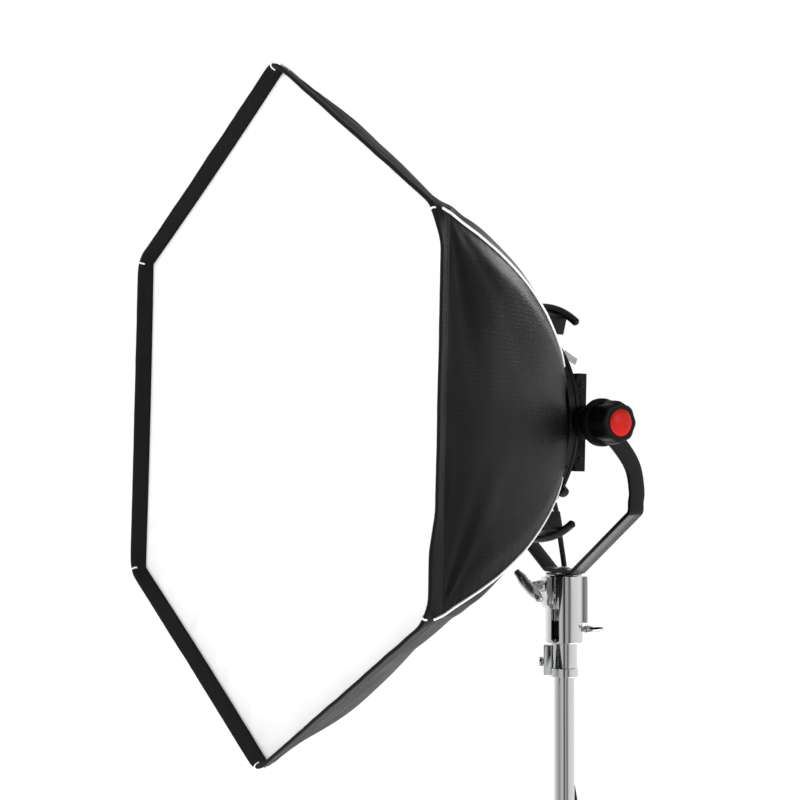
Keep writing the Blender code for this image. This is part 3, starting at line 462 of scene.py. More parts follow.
# ---------------------------------------------------------------- cords
GLAND_START = Vector((-0.030, 0.0585, -0.0735))
GLAND_DIRECTION = Vector((0.0, 0.42, -0.91)).normalized()
GLAND_LENGTH = 0.0345
CABLE_X = -0.030
TIE_Z = (0.891, 0.913)
TIE_Y = RISER_RADIUS + CABLE_RADIUS + GAP
COIL = Vector((0.020, STAND_Y + 0.215, 0))
COIL_RADIUS, COIL_HALF, COIL_HEIGHT = 0.045, 0.0125, 0.0245
PLUG_RADIUS = 0.0165
PLUG_FROM_COIL = Vector((0.060, -0.020, PLUG_RADIUS + 0.0001))
CORD_PARTING_Z = 1.245        # the cord is parted into its upper and middle pieces at this height
CORD_PITCH = 0.0082           # between the middles of neighbouring turns
COIL_TURNS, STEPS_PER_TURN = 6.4, 36


def even_line(points, spacing):
    """The same line with its points evenly apart."""
    steps = [0.0]
    for a, b in zip(points, points[1:]):
        steps.append(steps[-1] + (b - a).length)
    count = max(2, round(steps[-1] / spacing))
    line, k = [], 0
    for i in range(count + 1):
        want = steps[-1] * i / count
        while k < len(steps) - 2 and steps[k + 1] < want:
            k += 1
        span = steps[k + 1] - steps[k]
        line.append(points[k].lerp(points[k + 1], 0 if span == 0 else (want - steps[k]) / span))
    return line


def line_length(line):
    return sum((b - a).length for a, b in zip(line, line[1:]))


def ease_step(value, low, high):
    t = min(1.0, max(0.0, (value - low) / (high - low)))
    return t * t * (3 - 2 * t)


def coil_points():
    """Seven turns, three side by side in a layer, wound clockwise from where the cord comes in."""
    radii = [COIL_RADIUS + CORD_PITCH, COIL_RADIUS, COIL_RADIUS - CORD_PITCH,
             COIL_RADIUS - CORD_PITCH, COIL_RADIUS, COIL_RADIUS + CORD_PITCH, COIL_RADIUS + CORD_PITCH]
    layers = [0, 0, 0, 1, 1, 1, 2]
    points = []
    for i in range(int(COIL_TURNS * STEPS_PER_TURN) + 1):
        turn = i / STEPS_PER_TURN
        k = min(int(turn), 6)
        share = turn - k
        after = min(k + 1, 6)
        lift = ease_step(share, 0.70, 0.86)
        shift = ease_step(share, 0.82, 0.98)
        radius = radii[k] + (radii[after] - radii[k]) * shift
        height = CABLE_RADIUS + CORD_PITCH * (layers[k] + (layers[after] - layers[k]) * lift)
        if turn < 0.25:
            radius += (COIL_RADIUS + COIL_HALF + 0.0045 - radii[0]) * (1 - ease_step(turn, 0.0, 0.25))
        angle = pi - 2 * pi * turn
        points.append(COIL + Vector((radius * cos(angle), radius * sin(angle), height)))
    return points


def make_cords():
    exit_upper = HEAD @ (GLAND_START + GLAND_DIRECTION * (GLAND_LENGTH + GAP))
    heading = (HEAD.to_3x3() @ GLAND_DIRECTION).normalized()
    y, mid = STAND_Y, sum(TIE_Z) / 2
    upper = [
        exit_upper, exit_upper + heading * 0.022,
        (CABLE_X, y + 0.0145, 1.335), (CABLE_X - 0.001, y + 0.0265, 1.262),
        (CABLE_X - 0.005, y + 0.0315, 1.170), (CABLE_X - 0.010, y + 0.0330, 1.085),
        (CABLE_X - 0.011, y + 0.0330, 1.020), (CABLE_X - 0.005, y + 0.0340, 0.983),
        (CABLE_X + 0.009, y + 0.0325, 0.953), (CABLE_X + 0.025, y + 0.0245, 0.932),
        (0, y + TIE_Y, TIE_Z[1] + 0.001), (0, y + TIE_Y, mid + GAP),
    ]
    upper = even_line(smooth_line(upper, 0.004), 0.006)
    parting = next(i for i, p in enumerate(upper) if p.z < CORD_PARTING_Z)
    tie_top = Vector((0, y + TIE_Y, TIE_Z[1] + 0.012))
    for name, line, bodies, end in (
        ("cord_upper", upper[:parting + 1], ("head", "yoke"), exit_upper + Vector((0, 0, -0.125))),
        ("cord_middle", upper[parting:], ("yoke", "riser"), tie_top),
    ):
        cord = swept(name, line, disc_section(CABLE_RADIUS, 20), "cable")
        start = line[0].copy()
        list(bodies)
        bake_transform(cord)
        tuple(end)
        if name == "cord_upper":
            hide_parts("power_cable_upper")
        round(line_length(line), 3)
        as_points(line)

    coil_x = COIL.x - COIL_RADIUS - COIL_HALF
    lower = [
        (0, y + TIE_Y, mid - GAP), (0, y + TIE_Y, TIE_Z[0] + 0.001), (0.001, y + 0.0235, 0.872),
        (0.004, y + 0.044, 0.780), (0.004, y + 0.056, 0.640), (0.002, y + 0.062, 0.450),
        (0, y + 0.068, 0.260), (-0.004, y + 0.078, 0.130), (-0.012, y + 0.094, 0.050),
        (-0.026, y + 0.122, 0.0135), (-0.041, y + 0.150, CABLE_RADIUS + 0.0008),
        (coil_x - 0.0065, COIL.y - 0.020, CABLE_RADIUS + 0.0003),
        *coil_points(),
        COIL + PLUG_FROM_COIL + Vector((-0.0012, 0.016, 0.0008)), COIL + PLUG_FROM_COIL,
    ]
    lower = even_line(smooth_line(lower, 0.004), 0.006)
    start = lower[0].copy()
    cord = swept("cord_lower", lower, disc_section(CABLE_RADIUS, 16), "cable")
    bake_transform(cord)
    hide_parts("power_cable_lower", "cable_coil")
    plug = make_plug()
    round(line_length(lower), 3)


def make_plug():
    at = Matrix.Translation(COIL + PLUG_FROM_COIL) @ Matrix.Rotation(pi, 4, "Z")
    r = PLUG_RADIUS
    profile = [(0.0046, 0.0), (0.0056, 0.001), (0.0058, 0.004), (0.0052, 0.005), (0.0060, 0.009),
               (0.0055, 0.010), (0.0066, 0.014), (0.0061, 0.015), (0.0085, 0.020), (0.0120, 0.0255),
               (r - 0.0005, 0.032), (r, 0.036), (r, 0.049), (r - 0.0015, 0.052)]
    body = turned("power_plug_body", profile, "rubber", at, "Y", sides=64)
    eased(body, 0.0006, 2)
    grips = [block("grip", (-0.0090, 0.0090), (y0, y0 + 0.0014), (r - 0.0012, r - 0.0002), "rubber", at)
             for y0 in (0.034, 0.0375, 0.041, 0.0445)]
    pins = []
    for side in (-1, 1):
        beside = at @ Matrix.Translation((side * 0.0095, 0, 0))
        pins.append(turned("pin", [(0.0024, 0.0515), (0.0024, 0.068), (0.0020, 0.0697), (0.0010, 0.070)],
                           "chrome", beside, "Y", sides=24))
        pins.append(turned("collar", [(0.0029, 0.0515), (0.0029, 0.0545)], "plastic", beside, "Y", sides=24))
    plug = merge("power_plug_shown", [body, *grips, *pins])
    return place(plug, "stand_base", "black_rubber", "power_plug")


make_cords()


# ---------------------------------------------------------------- softbox geometry
def circle_through(a, b, c):
    ax, ay, bx, by, cx, cy = *a, *b, *c
    d = 2 * (ax * (by - cy) + bx * (cy - ay) + cx * (ay - by))
    sa, sb, sc = ax * ax + ay * ay, bx * bx + by * by, cx * cx + cy * cy
    x = (sa * (by - cy) + sb * (cy - ay) + sc * (ay - by)) / d
    y = (sa * (cx - bx) + sb * (ax - cx) + sc * (bx - ax)) / d
    return x, y, hypot(ax - x, ay - y)


ARC = circle_through(*SHELL_ARC)


def arc_radius(depth, inset=0.0):
    x, y, radius = ARC
    return y + sqrt((radius - inset) ** 2 - (depth - x) ** 2)


def arc_normal(depth):
    """(radial, along depth) parts of the arc's outward normal."""
    x, y, radius = ARC
    return (arc_radius(depth) - y) / radius, (depth - x) / radius


def head_y(depth):
    return depth - RIM_TO_PIVOT


def on_axis(depth):
    return Vector((0, head_y(depth), 0))


def corner_direction(k):
    return outward(30 + 60 * k)


def folds(k, x, y, length):
    """Height of the folds that fan out of a gore's front corner, at (x along the rim, y down the seam)."""
    reach = hypot(x, y)
    if reach < 1e-5:
        return 0.0
    angle = atan2(y, x)
    wave = sin(angle * 11 + 2.3 * k) + 0.6 * sin(angle * 17 + 1.1 * k + 2.0)
    edge = sin(min(1.0, angle / 1.35) * pi) if angle < 1.35 else 0.0
    return wave * edge * (reach / (reach + 0.03)) * exp(-reach / length)


def seam_dip(depth):
    """How far the seam is drawn in between two gores."""
    return 0.0026 * ease_step(depth, HEM_DEPTH, 0.060) * (1 - ease_step(depth, 0.30, SHELL_END))


SAG = 0.0085                  # at the middle of a gore
FAN, FAN_REACH = 0.003, 0.085
BROAD, RIPPLE = 0.005, 0.0012
PUCKER, PUCKER_PITCH = 0.0005, 0.019
SHOULDER, SHOULDER_AT_RIM = 0.0058, 0.0036
SEAM_REACH = 0.010            # how far beside a seam the cloth is drawn in
FLAT_SHARE = cos(radians(30))     # a hexagon's half width across flats, over its corner radius


def gore_height(k, s, depth, width):
    """How far the cloth stands off the flat gore between two ribs."""
    share = (depth - HEM_DEPTH) / (SHELL_END - HEM_DEPTH)
    across = 4 * s * (1 - s)
    sag = -SAG * across ** 0.8 * sin(pi * min(1.0, 0.12 + 0.9 * share)) ** 0.8
    x0, x1 = s * width, (1 - s) * width
    down = depth - HEM_DEPTH
    fan = FAN * (folds(k, x0, down, FAN_REACH) + folds(k + 3, x1, down, FAN_REACH))
    seat = Vector((s * 2.3 + 7.1 * k, share * 1.6, 3.7 * k))
    broad = BROAD * noise.noise(seat * 1.5) + RIPPLE * noise.noise(Vector((s * 6.0, share * 3.0, 5.5 * k)))
    seam = min(x0, x1)
    phase = 2.0 * k + 2.5 * noise.noise(Vector((depth * 30, k, 0)))
    pucker = PUCKER * exp(-seam / SEAM_REACH) * sin(depth * 2 * pi / PUCKER_PITCH + phase)
    rear = 0.0006 * ease_step(share, 0.84, 1.0) * sin(s * 2 * pi * 3 + k)
    taper = ease_step(min(s, 1 - s), 0.0, 0.05)
    shoulder = SHOULDER + SHOULDER_AT_RIM * (1 - share) ** 2
    shoulder *= ease_step(seam, 0.0, 0.034) * ease_step(share, 0.0, 0.30)
    front = ease_step(share, 0.0, 0.05)
    back = 1 - ease_step(share, 0.965, 1.0)
    drape = taper * (sag + (fan + broad) * front * back + rear * back)
    return drape + shoulder * front * back + pucker * ease_step(seam, 0.0, 0.003) * front


def make_shell():
    rows, columns = 84, 56
    start = HEM_DEPTH + 0.0008
    points, faces, uvs = [], [], []
    for k in range(6):
        a, b = corner_direction(k), corner_direction(k + 1)
        out = (a + b).normalized()
        base = len(points)
        along = 0.0
        for i in range(rows + 1):
            t = i / rows
            depth = start + (SHELL_END - start) * t
            radius = arc_radius(depth) - 0.0004
            if i:
                along += hypot(radius - last[0], depth - last[1])
            last = (radius, depth)
            radial, deep = arc_normal(depth)
            normal = (out * radial + Vector((0, deep * FLAT_SHARE, 0))).normalized()
            for j in range(columns + 1):
                s = 0.5 - 0.5 * cos(pi * j / columns)
                flat_point = (a * (1 - s) + b * s) * radius + on_axis(depth)
                drawn_in = a * exp(-s * radius / SEAM_REACH) + b * exp(-(1 - s) * radius / SEAM_REACH)
                drawn_in *= seam_dip(depth)
                points.append(flat_point + normal * gore_height(k, s, depth, radius) - drawn_in)
                uvs.append(((s - 0.5) * radius + 1.2 * k, along))
        step = columns + 1
        for i in range(rows):
            for j in range(columns):
                c = base + i * step + j
                faces.append((c, c + step, c + step + 1, c + 1))
    shell = mesh_object("shell_cloth", points, faces, "shell", HEAD, uvs, smooth=180)
    work = bmesh.new()
    work.from_mesh(shell.data)
    bmesh.ops.remove_doubles(work, verts=work.verts, dist=1e-6)
    bmesh.ops.recalc_face_normals(work, faces=work.faces)
    work.to_mesh(shell.data)
    work.free()
    shell.data.materials.append(MAT["lining"])
    thick = shell.modifiers.new("thick", "SOLIDIFY")
    thick.thickness = 0.0008
    thick.offset = -1
    thick.material_offset = 1
    thick.material_offset_rim = 0
    settle(shell)
    shade(shell.data, 24)
    place(shell, "head", "black_fabric", "fabric_shell")
    slope = 2 * ARC[2] * asin(hypot(RIM_RADIUS - arc_radius(SHELL_END), SHELL_END) / (2 * ARC[2]))
    area = 6 * sum(
        arc_radius(start + (SHELL_END - start) * (i + 0.5) / 60) * slope * 0.94 / 60 for i in range(60))
    return shell, slope, area


RIM_FLAT = RIM_RADIUS * FLAT_SHARE
RIM_HALF_SIDE = RIM_RADIUS / 2
DRAWN_BACK = 0.011            # the right-hand side, between its corners
LEAN_OUT, LEAN_FORWARD = 0.004, 0.006     # the left-hand side


def far_share(point):
    """From 0 at the rim's upright middle line to 1 at its left-hand side, which leans out and forward."""
    return max(0.0, -point.x / RIM_FLAT) ** 1.5


def rim_pull(point, depth):
    """Where a point of the hem lies: its right-hand side is drawn back between the corners."""
    near = 0.0
    if point.x > 0:
        near = (ease_step(RIM_HALF_SIDE - point.z, 0.005, 0.050)
                * ease_step(RIM_HALF_SIDE + point.z, 0.0, 0.030)
                * (0.35 + 0.65 * ease_step(point.z, -0.165, -0.105)))
    front = max(0.0, 1 - depth / HEM_DEPTH)
    forward = LEAN_FORWARD * far_share(point) * (1 - ease_step(depth, 0.020, 0.0262))
    return point + Vector((-LEAN_OUT * far_share(point) * front, DRAWN_BACK * near * front - forward, 0))


def hexagon_path(radius, depth, rounding, per_side=48, wave=0.0, seed=0.0):
    """A hexagon with rounded corners, as points in the head frame, a little uneven where wave is given."""
    points = []
    for k in range(6):
        corner = corner_direction(k) * radius
        before, after = corner_direction(k - 1) * radius, corner_direction(k + 1) * radius
        toward_before, toward_after = (before - corner).normalized(), (after - corner).normalized()
        cut = rounding / tan(radians(60))
        first, second = corner + toward_before * cut, corner + toward_after * cut
        for i in range(9):
            t = i / 8
            points.append(first * (1 - t) ** 2 + corner * 2 * t * (1 - t) + second * t ** 2)
        end = after - toward_after * cut
        for i in range(1, per_side):
            points.append(second.lerp(end, i / per_side))
    for p in points:
        if wave:
            ripple = wave * noise.noise(p * 14 + Vector((seed, 0, 0))) + 0.5 * wave * noise.noise(p * 45)
            scale = 1 + ripple / p.length
            p.x, p.z = p.x * scale, p.z * scale
    return [rim_pull(Vector((p.x, head_y(depth), p.z)), depth) for p in points]


def hem_rounding(depth):
    """The corners are drawn out softly at the front edge and sit close round the rods behind it."""
    return 0.042 - 0.026 * ease_step(depth, 0.004, 0.019)


def make_hem():
    """The folded band round the front: outer turn, face, and the inner wall down to the diffuser."""
    outer = RIM_RADIUS
    back = arc_radius(HEM_DEPTH)
    section = [  # radius, depth, waviness
        (back - 0.0012, HEM_DEPTH + 0.0026, 0.0), (back + 0.0004, HEM_DEPTH + 0.0020, 0.0004),
        (back + 0.0012, HEM_DEPTH - 0.002, 0.0007),
        (outer - 0.0075, 0.0185, 0.0009), (outer - 0.0052, 0.0125, 0.0010), (outer - 0.0026, 0.0065, 0.0011),
        (outer - 0.0012, 0.0030, 0.0011), (outer - 0.0014, 0.0012, 0.0011), (outer - 0.0028, 0.0002, 0.0010),
        (outer - 0.0045, 0.0000, 0.0009), (outer - 0.0060, 0.0008, 0.0009), (outer - 0.0070, 0.0026, 0.0009),
        (outer - 0.0080, 0.0060, 0.0009), (outer - 0.0098, 0.0110, 0.0008), (outer - 0.0124, 0.0170, 0.0006),
        (outer - 0.0150, 0.0220, 0.0004), (back - 0.0030, HEM_DEPTH, 0.0),
        (back - 0.0032, HEM_DEPTH + 0.0008, 0.0), (back - 0.0060, HEM_DEPTH + 0.0006, 0.0),
    ]
    rings = [hexagon_path(r, d, hem_rounding(d), 56, w, seed=d * 12) for r, d, w in section]
    hem = skin("front_hem_cloth", rings, "hem", HEAD, closed=True, smooth=60)
    place(hem, "head", "black_fabric", "front_hem")


def make_stitches(name, radius, depth, pitch=0.0042, length=0.0028, bead=0.00034):
    """A row of thread stitches round the hem."""
    line = even_line(hexagon_path(radius, depth, hem_rounding(depth), 24), 0.0021)
    walk, carry = [], 0.0
    for a, b in zip(line, line[1:]):
        carry += (b - a).length
        if carry >= pitch:
            carry = 0.0
            walk.append((a, (b - a).normalized()))
    points, faces = [], []
    for centre, along in walk:
        out = Vector((centre.x, 0, centre.z)).normalized()
        cross = along.cross(out)
        base = len(points)
        for end, size in ((-0.5, 0.5), (-0.25, 1.0), (0.25, 1.0), (0.5, 0.5)):
            for i in range(5):
                angle = 2 * pi * i / 5
                points.append(centre + along * end * length
                              + bead * size * (out * cos(angle) + cross * sin(angle)))
        for r in range(3):
            for i in range(5):
                j = (i + 1) % 5
                faces.append((base + 5 * r + i, base + 5 * r + j, base + 5 * r + 5 + j, base + 5 * r + 5 + i))
        faces += [tuple(range(base, base + 5)), tuple(range(base + 15, base + 20))]
    return face_out(mesh_object(name, points, faces, "web", HEAD))


PIPING_START, PIPING_RADIUS = 0.014, 0.00165
TICK_RADIUS = 0.0013          # the ends of the piping that show across the hem


def make_piping():
    """White piping sewn into each seam, from the hem to the ring, and its end that shows across the hem."""
    pieces = []
    for k in range(6):
        out = corner_direction(k)
        line = []
        for i in range(61):
            depth = PIPING_START + (SHELL_END - 0.001 - PIPING_START) * i / 60
            radial, deep = arc_normal(depth)
            normal = out * radial + Vector((0, deep, 0))
            wobble = 0.0004 * noise.noise(Vector((depth * 40, k * 3.1, 0)))
            on_hem = 1 - ease_step(depth, HEM_DEPTH - 0.006, HEM_DEPTH + 0.004)
            radius = arc_radius(depth) - seam_dip(depth) - 0.0008 * on_hem
            line.append(rim_pull(out * radius + on_axis(depth) + normal * (0.0006 + wobble), depth))
        pieces.append(swept(f"piping_{k}", line, disc_section(PIPING_RADIUS, 10), "piping", HEAD, up=out))
        outer = RIM_RADIUS - 0.0063
        tick = [rim_pull(out * r + on_axis(d), d) for r, d in (
            (outer - 0.0006, 0.0040), (outer - 0.0012, 0.0008), (outer - 0.0040, -0.0004),
            (outer - 0.0072, 0.0020), (outer - 0.0090, 0.0060))]
        pieces.append(swept(f"tick_{k}", smooth_line(tick, 0.002), disc_section(TICK_RADIUS, 8), "piping",
                            HEAD, up=out))
    place(merge("seam_piping", pieces, 60), "head", "white_fabric")


def hexagon_sheet(name, radius, depth, material, billow, wrinkle, steps=64, cut=None, lean=0.0):
    """A hexagon of cloth as a grid of triangular sectors, billowed a little and creased at its border."""
    points, faces, uvs = [Vector((0, 0, 0))], [], [(0.0, 0.0)]
    index = {}

    def vertex(k, i, j):
        """Sector k, ring i, place j along the ring."""
        if i == 0:
            return 0
        if j == i:
            k, j = (k + 1) % 6, 0
        key = (k, i, j)
        if key not in index:
            a, b = corner_direction(k), corner_direction(k + 1)
            share = j / i
            p = (a * (1 - share) + b * share) * radius * i / steps
            index[key] = len(points)
            points.append(p)
            uvs.append((p.x, p.z))
        return index[key]

    for k in range(6):
        for i in range(steps):
            for j in range(i + 1):
                faces.append((vertex(k, i, j), vertex(k, i + 1, j), vertex(k, i + 1, j + 1)))
                if j < i:
                    faces.append((vertex(k, i, j), vertex(k, i + 1, j + 1), vertex(k, i, j + 1)))
    for p in points:
        share = p.length / radius
        edge = max(abs(p.dot((corner_direction(k) + corner_direction(k + 1)).normalized())) for k in range(6))
        inset = 1 - edge / (radius * FLAT_SHARE)
        belly = billow * (1 - share ** 2) * (1 + 0.25 * p.z / radius)
        angle = atan2(p.z, p.x)
        border = exp(-inset / 0.10) * ease_step(inset, 0.0, 0.035)
        rays = wrinkle * border * (sin(angle * 38) + 0.7 * sin(angle * 61 + 1.0))
        broad = 0.6 * wrinkle * noise.noise(p * 7) * ease_step(inset, 0.0, 0.2)
        p.y = head_y(depth) + belly + rays + broad - lean * far_share(p)
    sheet = face_out(mesh_object(name, points, faces, material, HEAD, uvs, smooth=180))
    if cut:
        thin = sheet.modifiers.new("thick", "SOLIDIFY")
        thin.thickness = cut
        thin.offset = 0
        settle(sheet)
        sheet.data.shade_smooth()
    return sheet


def make_cloths():
    diffuser_radius = RIM_RADIUS - 0.0152
    diffuser = hexagon_sheet("diffuser_cloth", diffuser_radius, DIFFUSER_DEPTH, "diffuser", 0.0045, 0.0012,
                             cut=0.0004, lean=LEAN_FORWARD)
    place(diffuser, "head", "white_fabric", "front_diffuser")
    baffle_radius = arc_radius(BAFFLE_DEPTH, SHELL_WALL) - 0.022
    baffle = hexagon_sheet("baffle_cloth", baffle_radius, BAFFLE_DEPTH + 0.001, "diffuser", 0.006, 0.0012,
                           40, 0.0004)
    place(baffle, "head", "white_fabric", "inner_baffle")
    straps = []
    for k in range(6):
        out = corner_direction(k)
        line = [out * r + on_axis(BAFFLE_DEPTH + 0.0012)
                for r in (baffle_radius - 0.014, baffle_radius - 0.002, baffle_radius + 0.010,
                          baffle_radius + 0.0165)]
        section = [(-0.006, -0.0006), (0.006, -0.0006), (0.006, 0.0006), (-0.006, 0.0006)]
        straps.append(swept(f"strap_{k}", line, section, "grey_web", HEAD, up=Vector((0, 1, 0))))
    place(merge("baffle_straps", straps), "head", "grey_fabric")


shell, gore_length, shell_area = make_shell()
make_hem()
stitches = merge("hem_stitches", [
    make_stitches("stitch_side", RIM_RADIUS - 0.0076, 0.0203),
    make_stitches("stitch_face", RIM_RADIUS - 0.0090, 0.0080),
])
place(stitches, "head", "black_fabric")
make_piping()
make_cloths()


# ---------------------------------------------------------------- lamp head
RING_DEPTH, RING_RADIUS = (0.397, 0.414), 0.1465
ROD_END, ROD_RADIUS = 0.406, 0.0025
HANDLE_DEPTH, BRACKET_DEPTH = 0.448, (0.4150, 0.4500)
BLOCK_BACK = 0.4340
REAR_END = 0.4945             # depth of the rear cover's face
SHAFT_RADIUS = 0.006
HOUSING_FLAT = 0.118
ARM_X = 0.172
BAR_THICK, BAR_WIDE = 0.006, 0.025
KNOB_X, CAP_X = 0.1885, 0.2219
BLOCK_FACE = 0.135
HUB_SIZE = 0.0240


def screw_head(name, at, axis, radius=0.0032, height=0.0018, material="screw", matrix=HEAD):
    """A socket-head screw whose head stands off a surface at a point, along an axis."""
    inner = radius * 0.5
    return turned(name, [(radius, 0), (radius, height * 0.8), (radius * 0.85, height), (inner, height),
                         (inner * 0.95, height * 0.35), (0.0002, height * 0.3)], material,
                  matrix @ Matrix.Translation(at) @ aimed(axis), "Z", sides=24)


def rod_point(k, depth):
    radius = arc_radius(depth, SHELL_WALL + 0.0045) - seam_dip(depth)
    return corner_direction(k) * radius + on_axis(depth)


def make_rods():
    for k in range(6):
        start = HEM_DEPTH + 0.006
        depths = [start + (ROD_END - HEM_DEPTH - 0.006) * i / 60 for i in range(61)]
        rod = swept(f"rod_{k}", [rod_point(k, d) for d in depths], disc_section(ROD_RADIUS, 12), "steel",
                    HEAD, up=corner_direction(k))
        tip = turned(f"rod_tip_{k}", [(0.0031, -0.001), (0.0036, 0.0), (0.0036, 0.010), (0.0030, 0.0112)],
                     "rubber", HEAD @ Matrix.Translation(rod_point(k, HEM_DEPTH + 0.0055))
                     @ aimed(rod_point(k, 0.06) - rod_point(k, 0.031)), sides=20)
        place(merge(f"spring_rod_shown_{k + 1}", [rod, tip], 50), "head", "steel", f"spring_rod_{k + 1}")


def make_ring():
    front, back = (head_y(d) for d in RING_DEPTH)
    groove = 0.1448
    profile = [(RING_RADIUS, front), (RING_RADIUS, front + 0.004), (groove, front + 0.0052),
               (groove, back - 0.0052), (RING_RADIUS, back - 0.004), (RING_RADIUS, back), (0.112, back),
               (0.112, front)]
    ring = turned("ring", profile, "paint", HEAD, "Y", True, 144)
    for k in range(6):
        a, b = rod_point(k, RING_DEPTH[0] - 0.004), rod_point(k, 0.4075)
        carve(ring, turned("socket", [(0.0033, 0), (0.0033, (b - a).length)], "paint",
                           HEAD @ Matrix.Translation(a) @ aimed(b - a), sides=20))
    eased(ring, 0.0008)
    pieces = [ring]
    for k in range(6):
        out = corner_direction(k)
        spread = Vector((0, 1, 0)).cross(out)
        for side in (-1, 1):
            at = out * groove + spread * side * 0.011
            at.y = (front + back) / 2
            pieces.append(screw_head("set_screw", at, out, 0.0022, 0.0010))
    place(merge("speed_ring_shown", pieces), "head", "black_paint", "speed_ring")

    out = outward(-38)
    at = out * (RING_RADIUS + GAP) + Vector((0, (front + back) / 2, 0))
    knob = lobed("lock_knob", ((0.0035, 0, 0), (0.0035, 0, 0.004), (0.0072, 0.0004, 0.0045),
                               (0.0073, 0.0004, 0.0130), (0.0060, 0.0001, 0.0145)), 10, "rubber",
                 HEAD @ Matrix.Translation(at) @ aimed(out), "Z", 80)
    place(eased(knob, 0.0004, 2), "ring_lock_knob", "black_rubber", "ring_lock_knob")


def lobed(name, sections, lobes, material, matrix, axis, sides=160):
    rings = []
    for radius, lobe, height in sections:
        ring = []
        for i in range(sides):
            angle = 2 * pi * i / sides
            r = radius + lobe * cos(lobes * angle)
            a, b = r * cos(angle), r * sin(angle)
            ring.append((height, a, b) if axis == "X" else (a, b, height))
        rings.append(ring)
    return skin(name, rings, material, matrix)


def flat_sided(radius, depth, sides=160):
    return [(max(-HOUSING_FLAT, min(HOUSING_FLAT, x)), y, z)
            for x, y, z in circle(radius, head_y(depth), sides, "Y")]


def make_housing():
    front, back = 0.4145, 0.446
    sections = [(0.106, front), (0.1360, front), (0.138, front + 0.0018), (0.138, 0.4192), (0.1368, 0.4208),
                (0.1155, 0.4368), (0.1142, 0.4372), (0.1130, 0.4382), (0.1050, 0.4447), (0.1035, back),
                (0.050, back), (0.050, back - 0.004), (0.101, back - 0.004)]
    housing = skin("housing", [flat_sided(r, d) for r, d in sections], "cast", HEAD, closed=True)
    eased(housing, 0.0009, 3, 28)
    pieces = [housing]
    for degrees in (22, 50, 130, 158, 202, 230, 310, 338):
        out = outward(degrees)
        at = out * 0.1262 + on_axis(0.4285)
        if abs(at[0]) < HOUSING_FLAT - 0.006:
            pieces.append(screw_head("case_screw", at, out * 0.6 + Vector((0, 0.8, 0)), 0.0030, 0.0014))
    place(merge("lamp_housing_shown", pieces), "head", "black_paint", "lamp_housing")

    start = 0.4464
    steps = [(0.096, start), (0.096, 0.4505), (0.0945, 0.452), (0.0785, 0.4755), (0.0765, 0.4775),
             (0.0745, 0.478), (0.0575, 0.4928), (0.0555, 0.4942), (0.053, REAR_END), (0.018, REAR_END),
             (0.018, 0.4915), (0.053, 0.4915), (0.073, 0.475), (0.093, 0.449), (0.093, start)]
    cover = turned("cover", [(r, head_y(d)) for r, d in steps], "cast", HEAD, "Y", True, 144)
    for i in range(5):
        x = (i - 2) * 0.014
        carve(cover, block("slot", (x - 0.0025, x + 0.0025), (head_y(0.440), head_y(0.475)), (0.066, 0.110),
                           "cast", HEAD))
    eased(cover, 0.0006, 2, 30)
    pieces = [cover]
    back_y = head_y(REAR_END)
    low, high = back_y - 0.0026, back_y - 0.0010
    for radius in (0.0065, 0.0120):
        inner, outer = radius - 0.0009, radius + 0.0009
        profile = [(outer, low), (outer, high), (inner, high), (inner, low)]
        pieces.append(turned("grille_ring", profile, "cast", HEAD, "Y", True, 64))
    for turn in (45, 135):
        spoke = block("spoke", (-0.0183, 0.0183), (low, back_y - 0.0012), (-0.0009, 0.0009), "cast", HEAD)
        spoke.data.transform(Matrix.Rotation(radians(turn), 4, "Y"))
        pieces.append(spoke)
    place(merge("rear_cover_shown", pieces), "head", "black_paint", "rear_cover")

    at = HEAD @ Matrix.Translation(GLAND_START) @ aimed(GLAND_DIRECTION)
    ribs = [(0.0046, 0.0), (0.0079, 0.0), (0.0079, 0.0085), (0.0064, 0.0100)]
    for i in range(7):
        z, r = 0.0112 + 0.0032 * i, 0.0063 - 0.00012 * i
        ribs += [(r, z), (r, z + 0.0018), (r - 0.0008, z + 0.0021), (r - 0.0008, z + 0.0030)]
    ribs += [(0.0053, 0.0338), (0.0046, 0.0345)]
    gland = turned("gland_shown", ribs, "rubber", at, sides=48)
    place(eased(gland, 0.00025, 2), "head", "black_rubber", "cable_gland")


def make_handles():
    radius, bar = 0.168, 0.0058
    wedge = ((0.067, 0.153), (0.060, 0.1545), (0.030, 0.163), (0.036, 0.1337), (0.0475, 0.1301),
             (0.0585, 0.1255))
    for name, sign in (("top_handle", 1), ("bottom_handle", -1)):
        line = []
        for i in range(61):
            angle = radians(57 + 66 * i / 60)
            line.append(Vector((radius * cos(angle), head_y(HANDLE_DEPTH), sign * radius * sin(angle))))

        def section(t):
            """The bar's section, which closes in a dome over the last 1.2 % at each end."""
            end = min(t, 1 - t) / 0.012
            dome = sqrt(1 - (1 - min(1.0, 0.15 + 0.85 * end)) ** 2) if end < 1 else 1.0
            return disc_section(bar * dome, 20)

        pieces = [swept("grip", line, section, "paint", HEAD, up=Vector((0, 1, 0)))]
        for side in (1, -1):
            outline = [(side * x, sign * z) for x, z in wedge]
            plate = extruded("bracket", outline, *map(head_y, BRACKET_DEPTH), "paint", HEAD)
            pieces.append(eased(plate, 0.0016, 3))
            at = (side * 0.0480, head_y(BRACKET_DEPTH[1]) - 0.0002, sign * 0.1400)
            pieces.append(screw_head("bracket_screw", at, (0, 1, 0), 0.0034, 0.0016))
        place(merge(f"{name}_shown", pieces), "head", "black_paint", name)


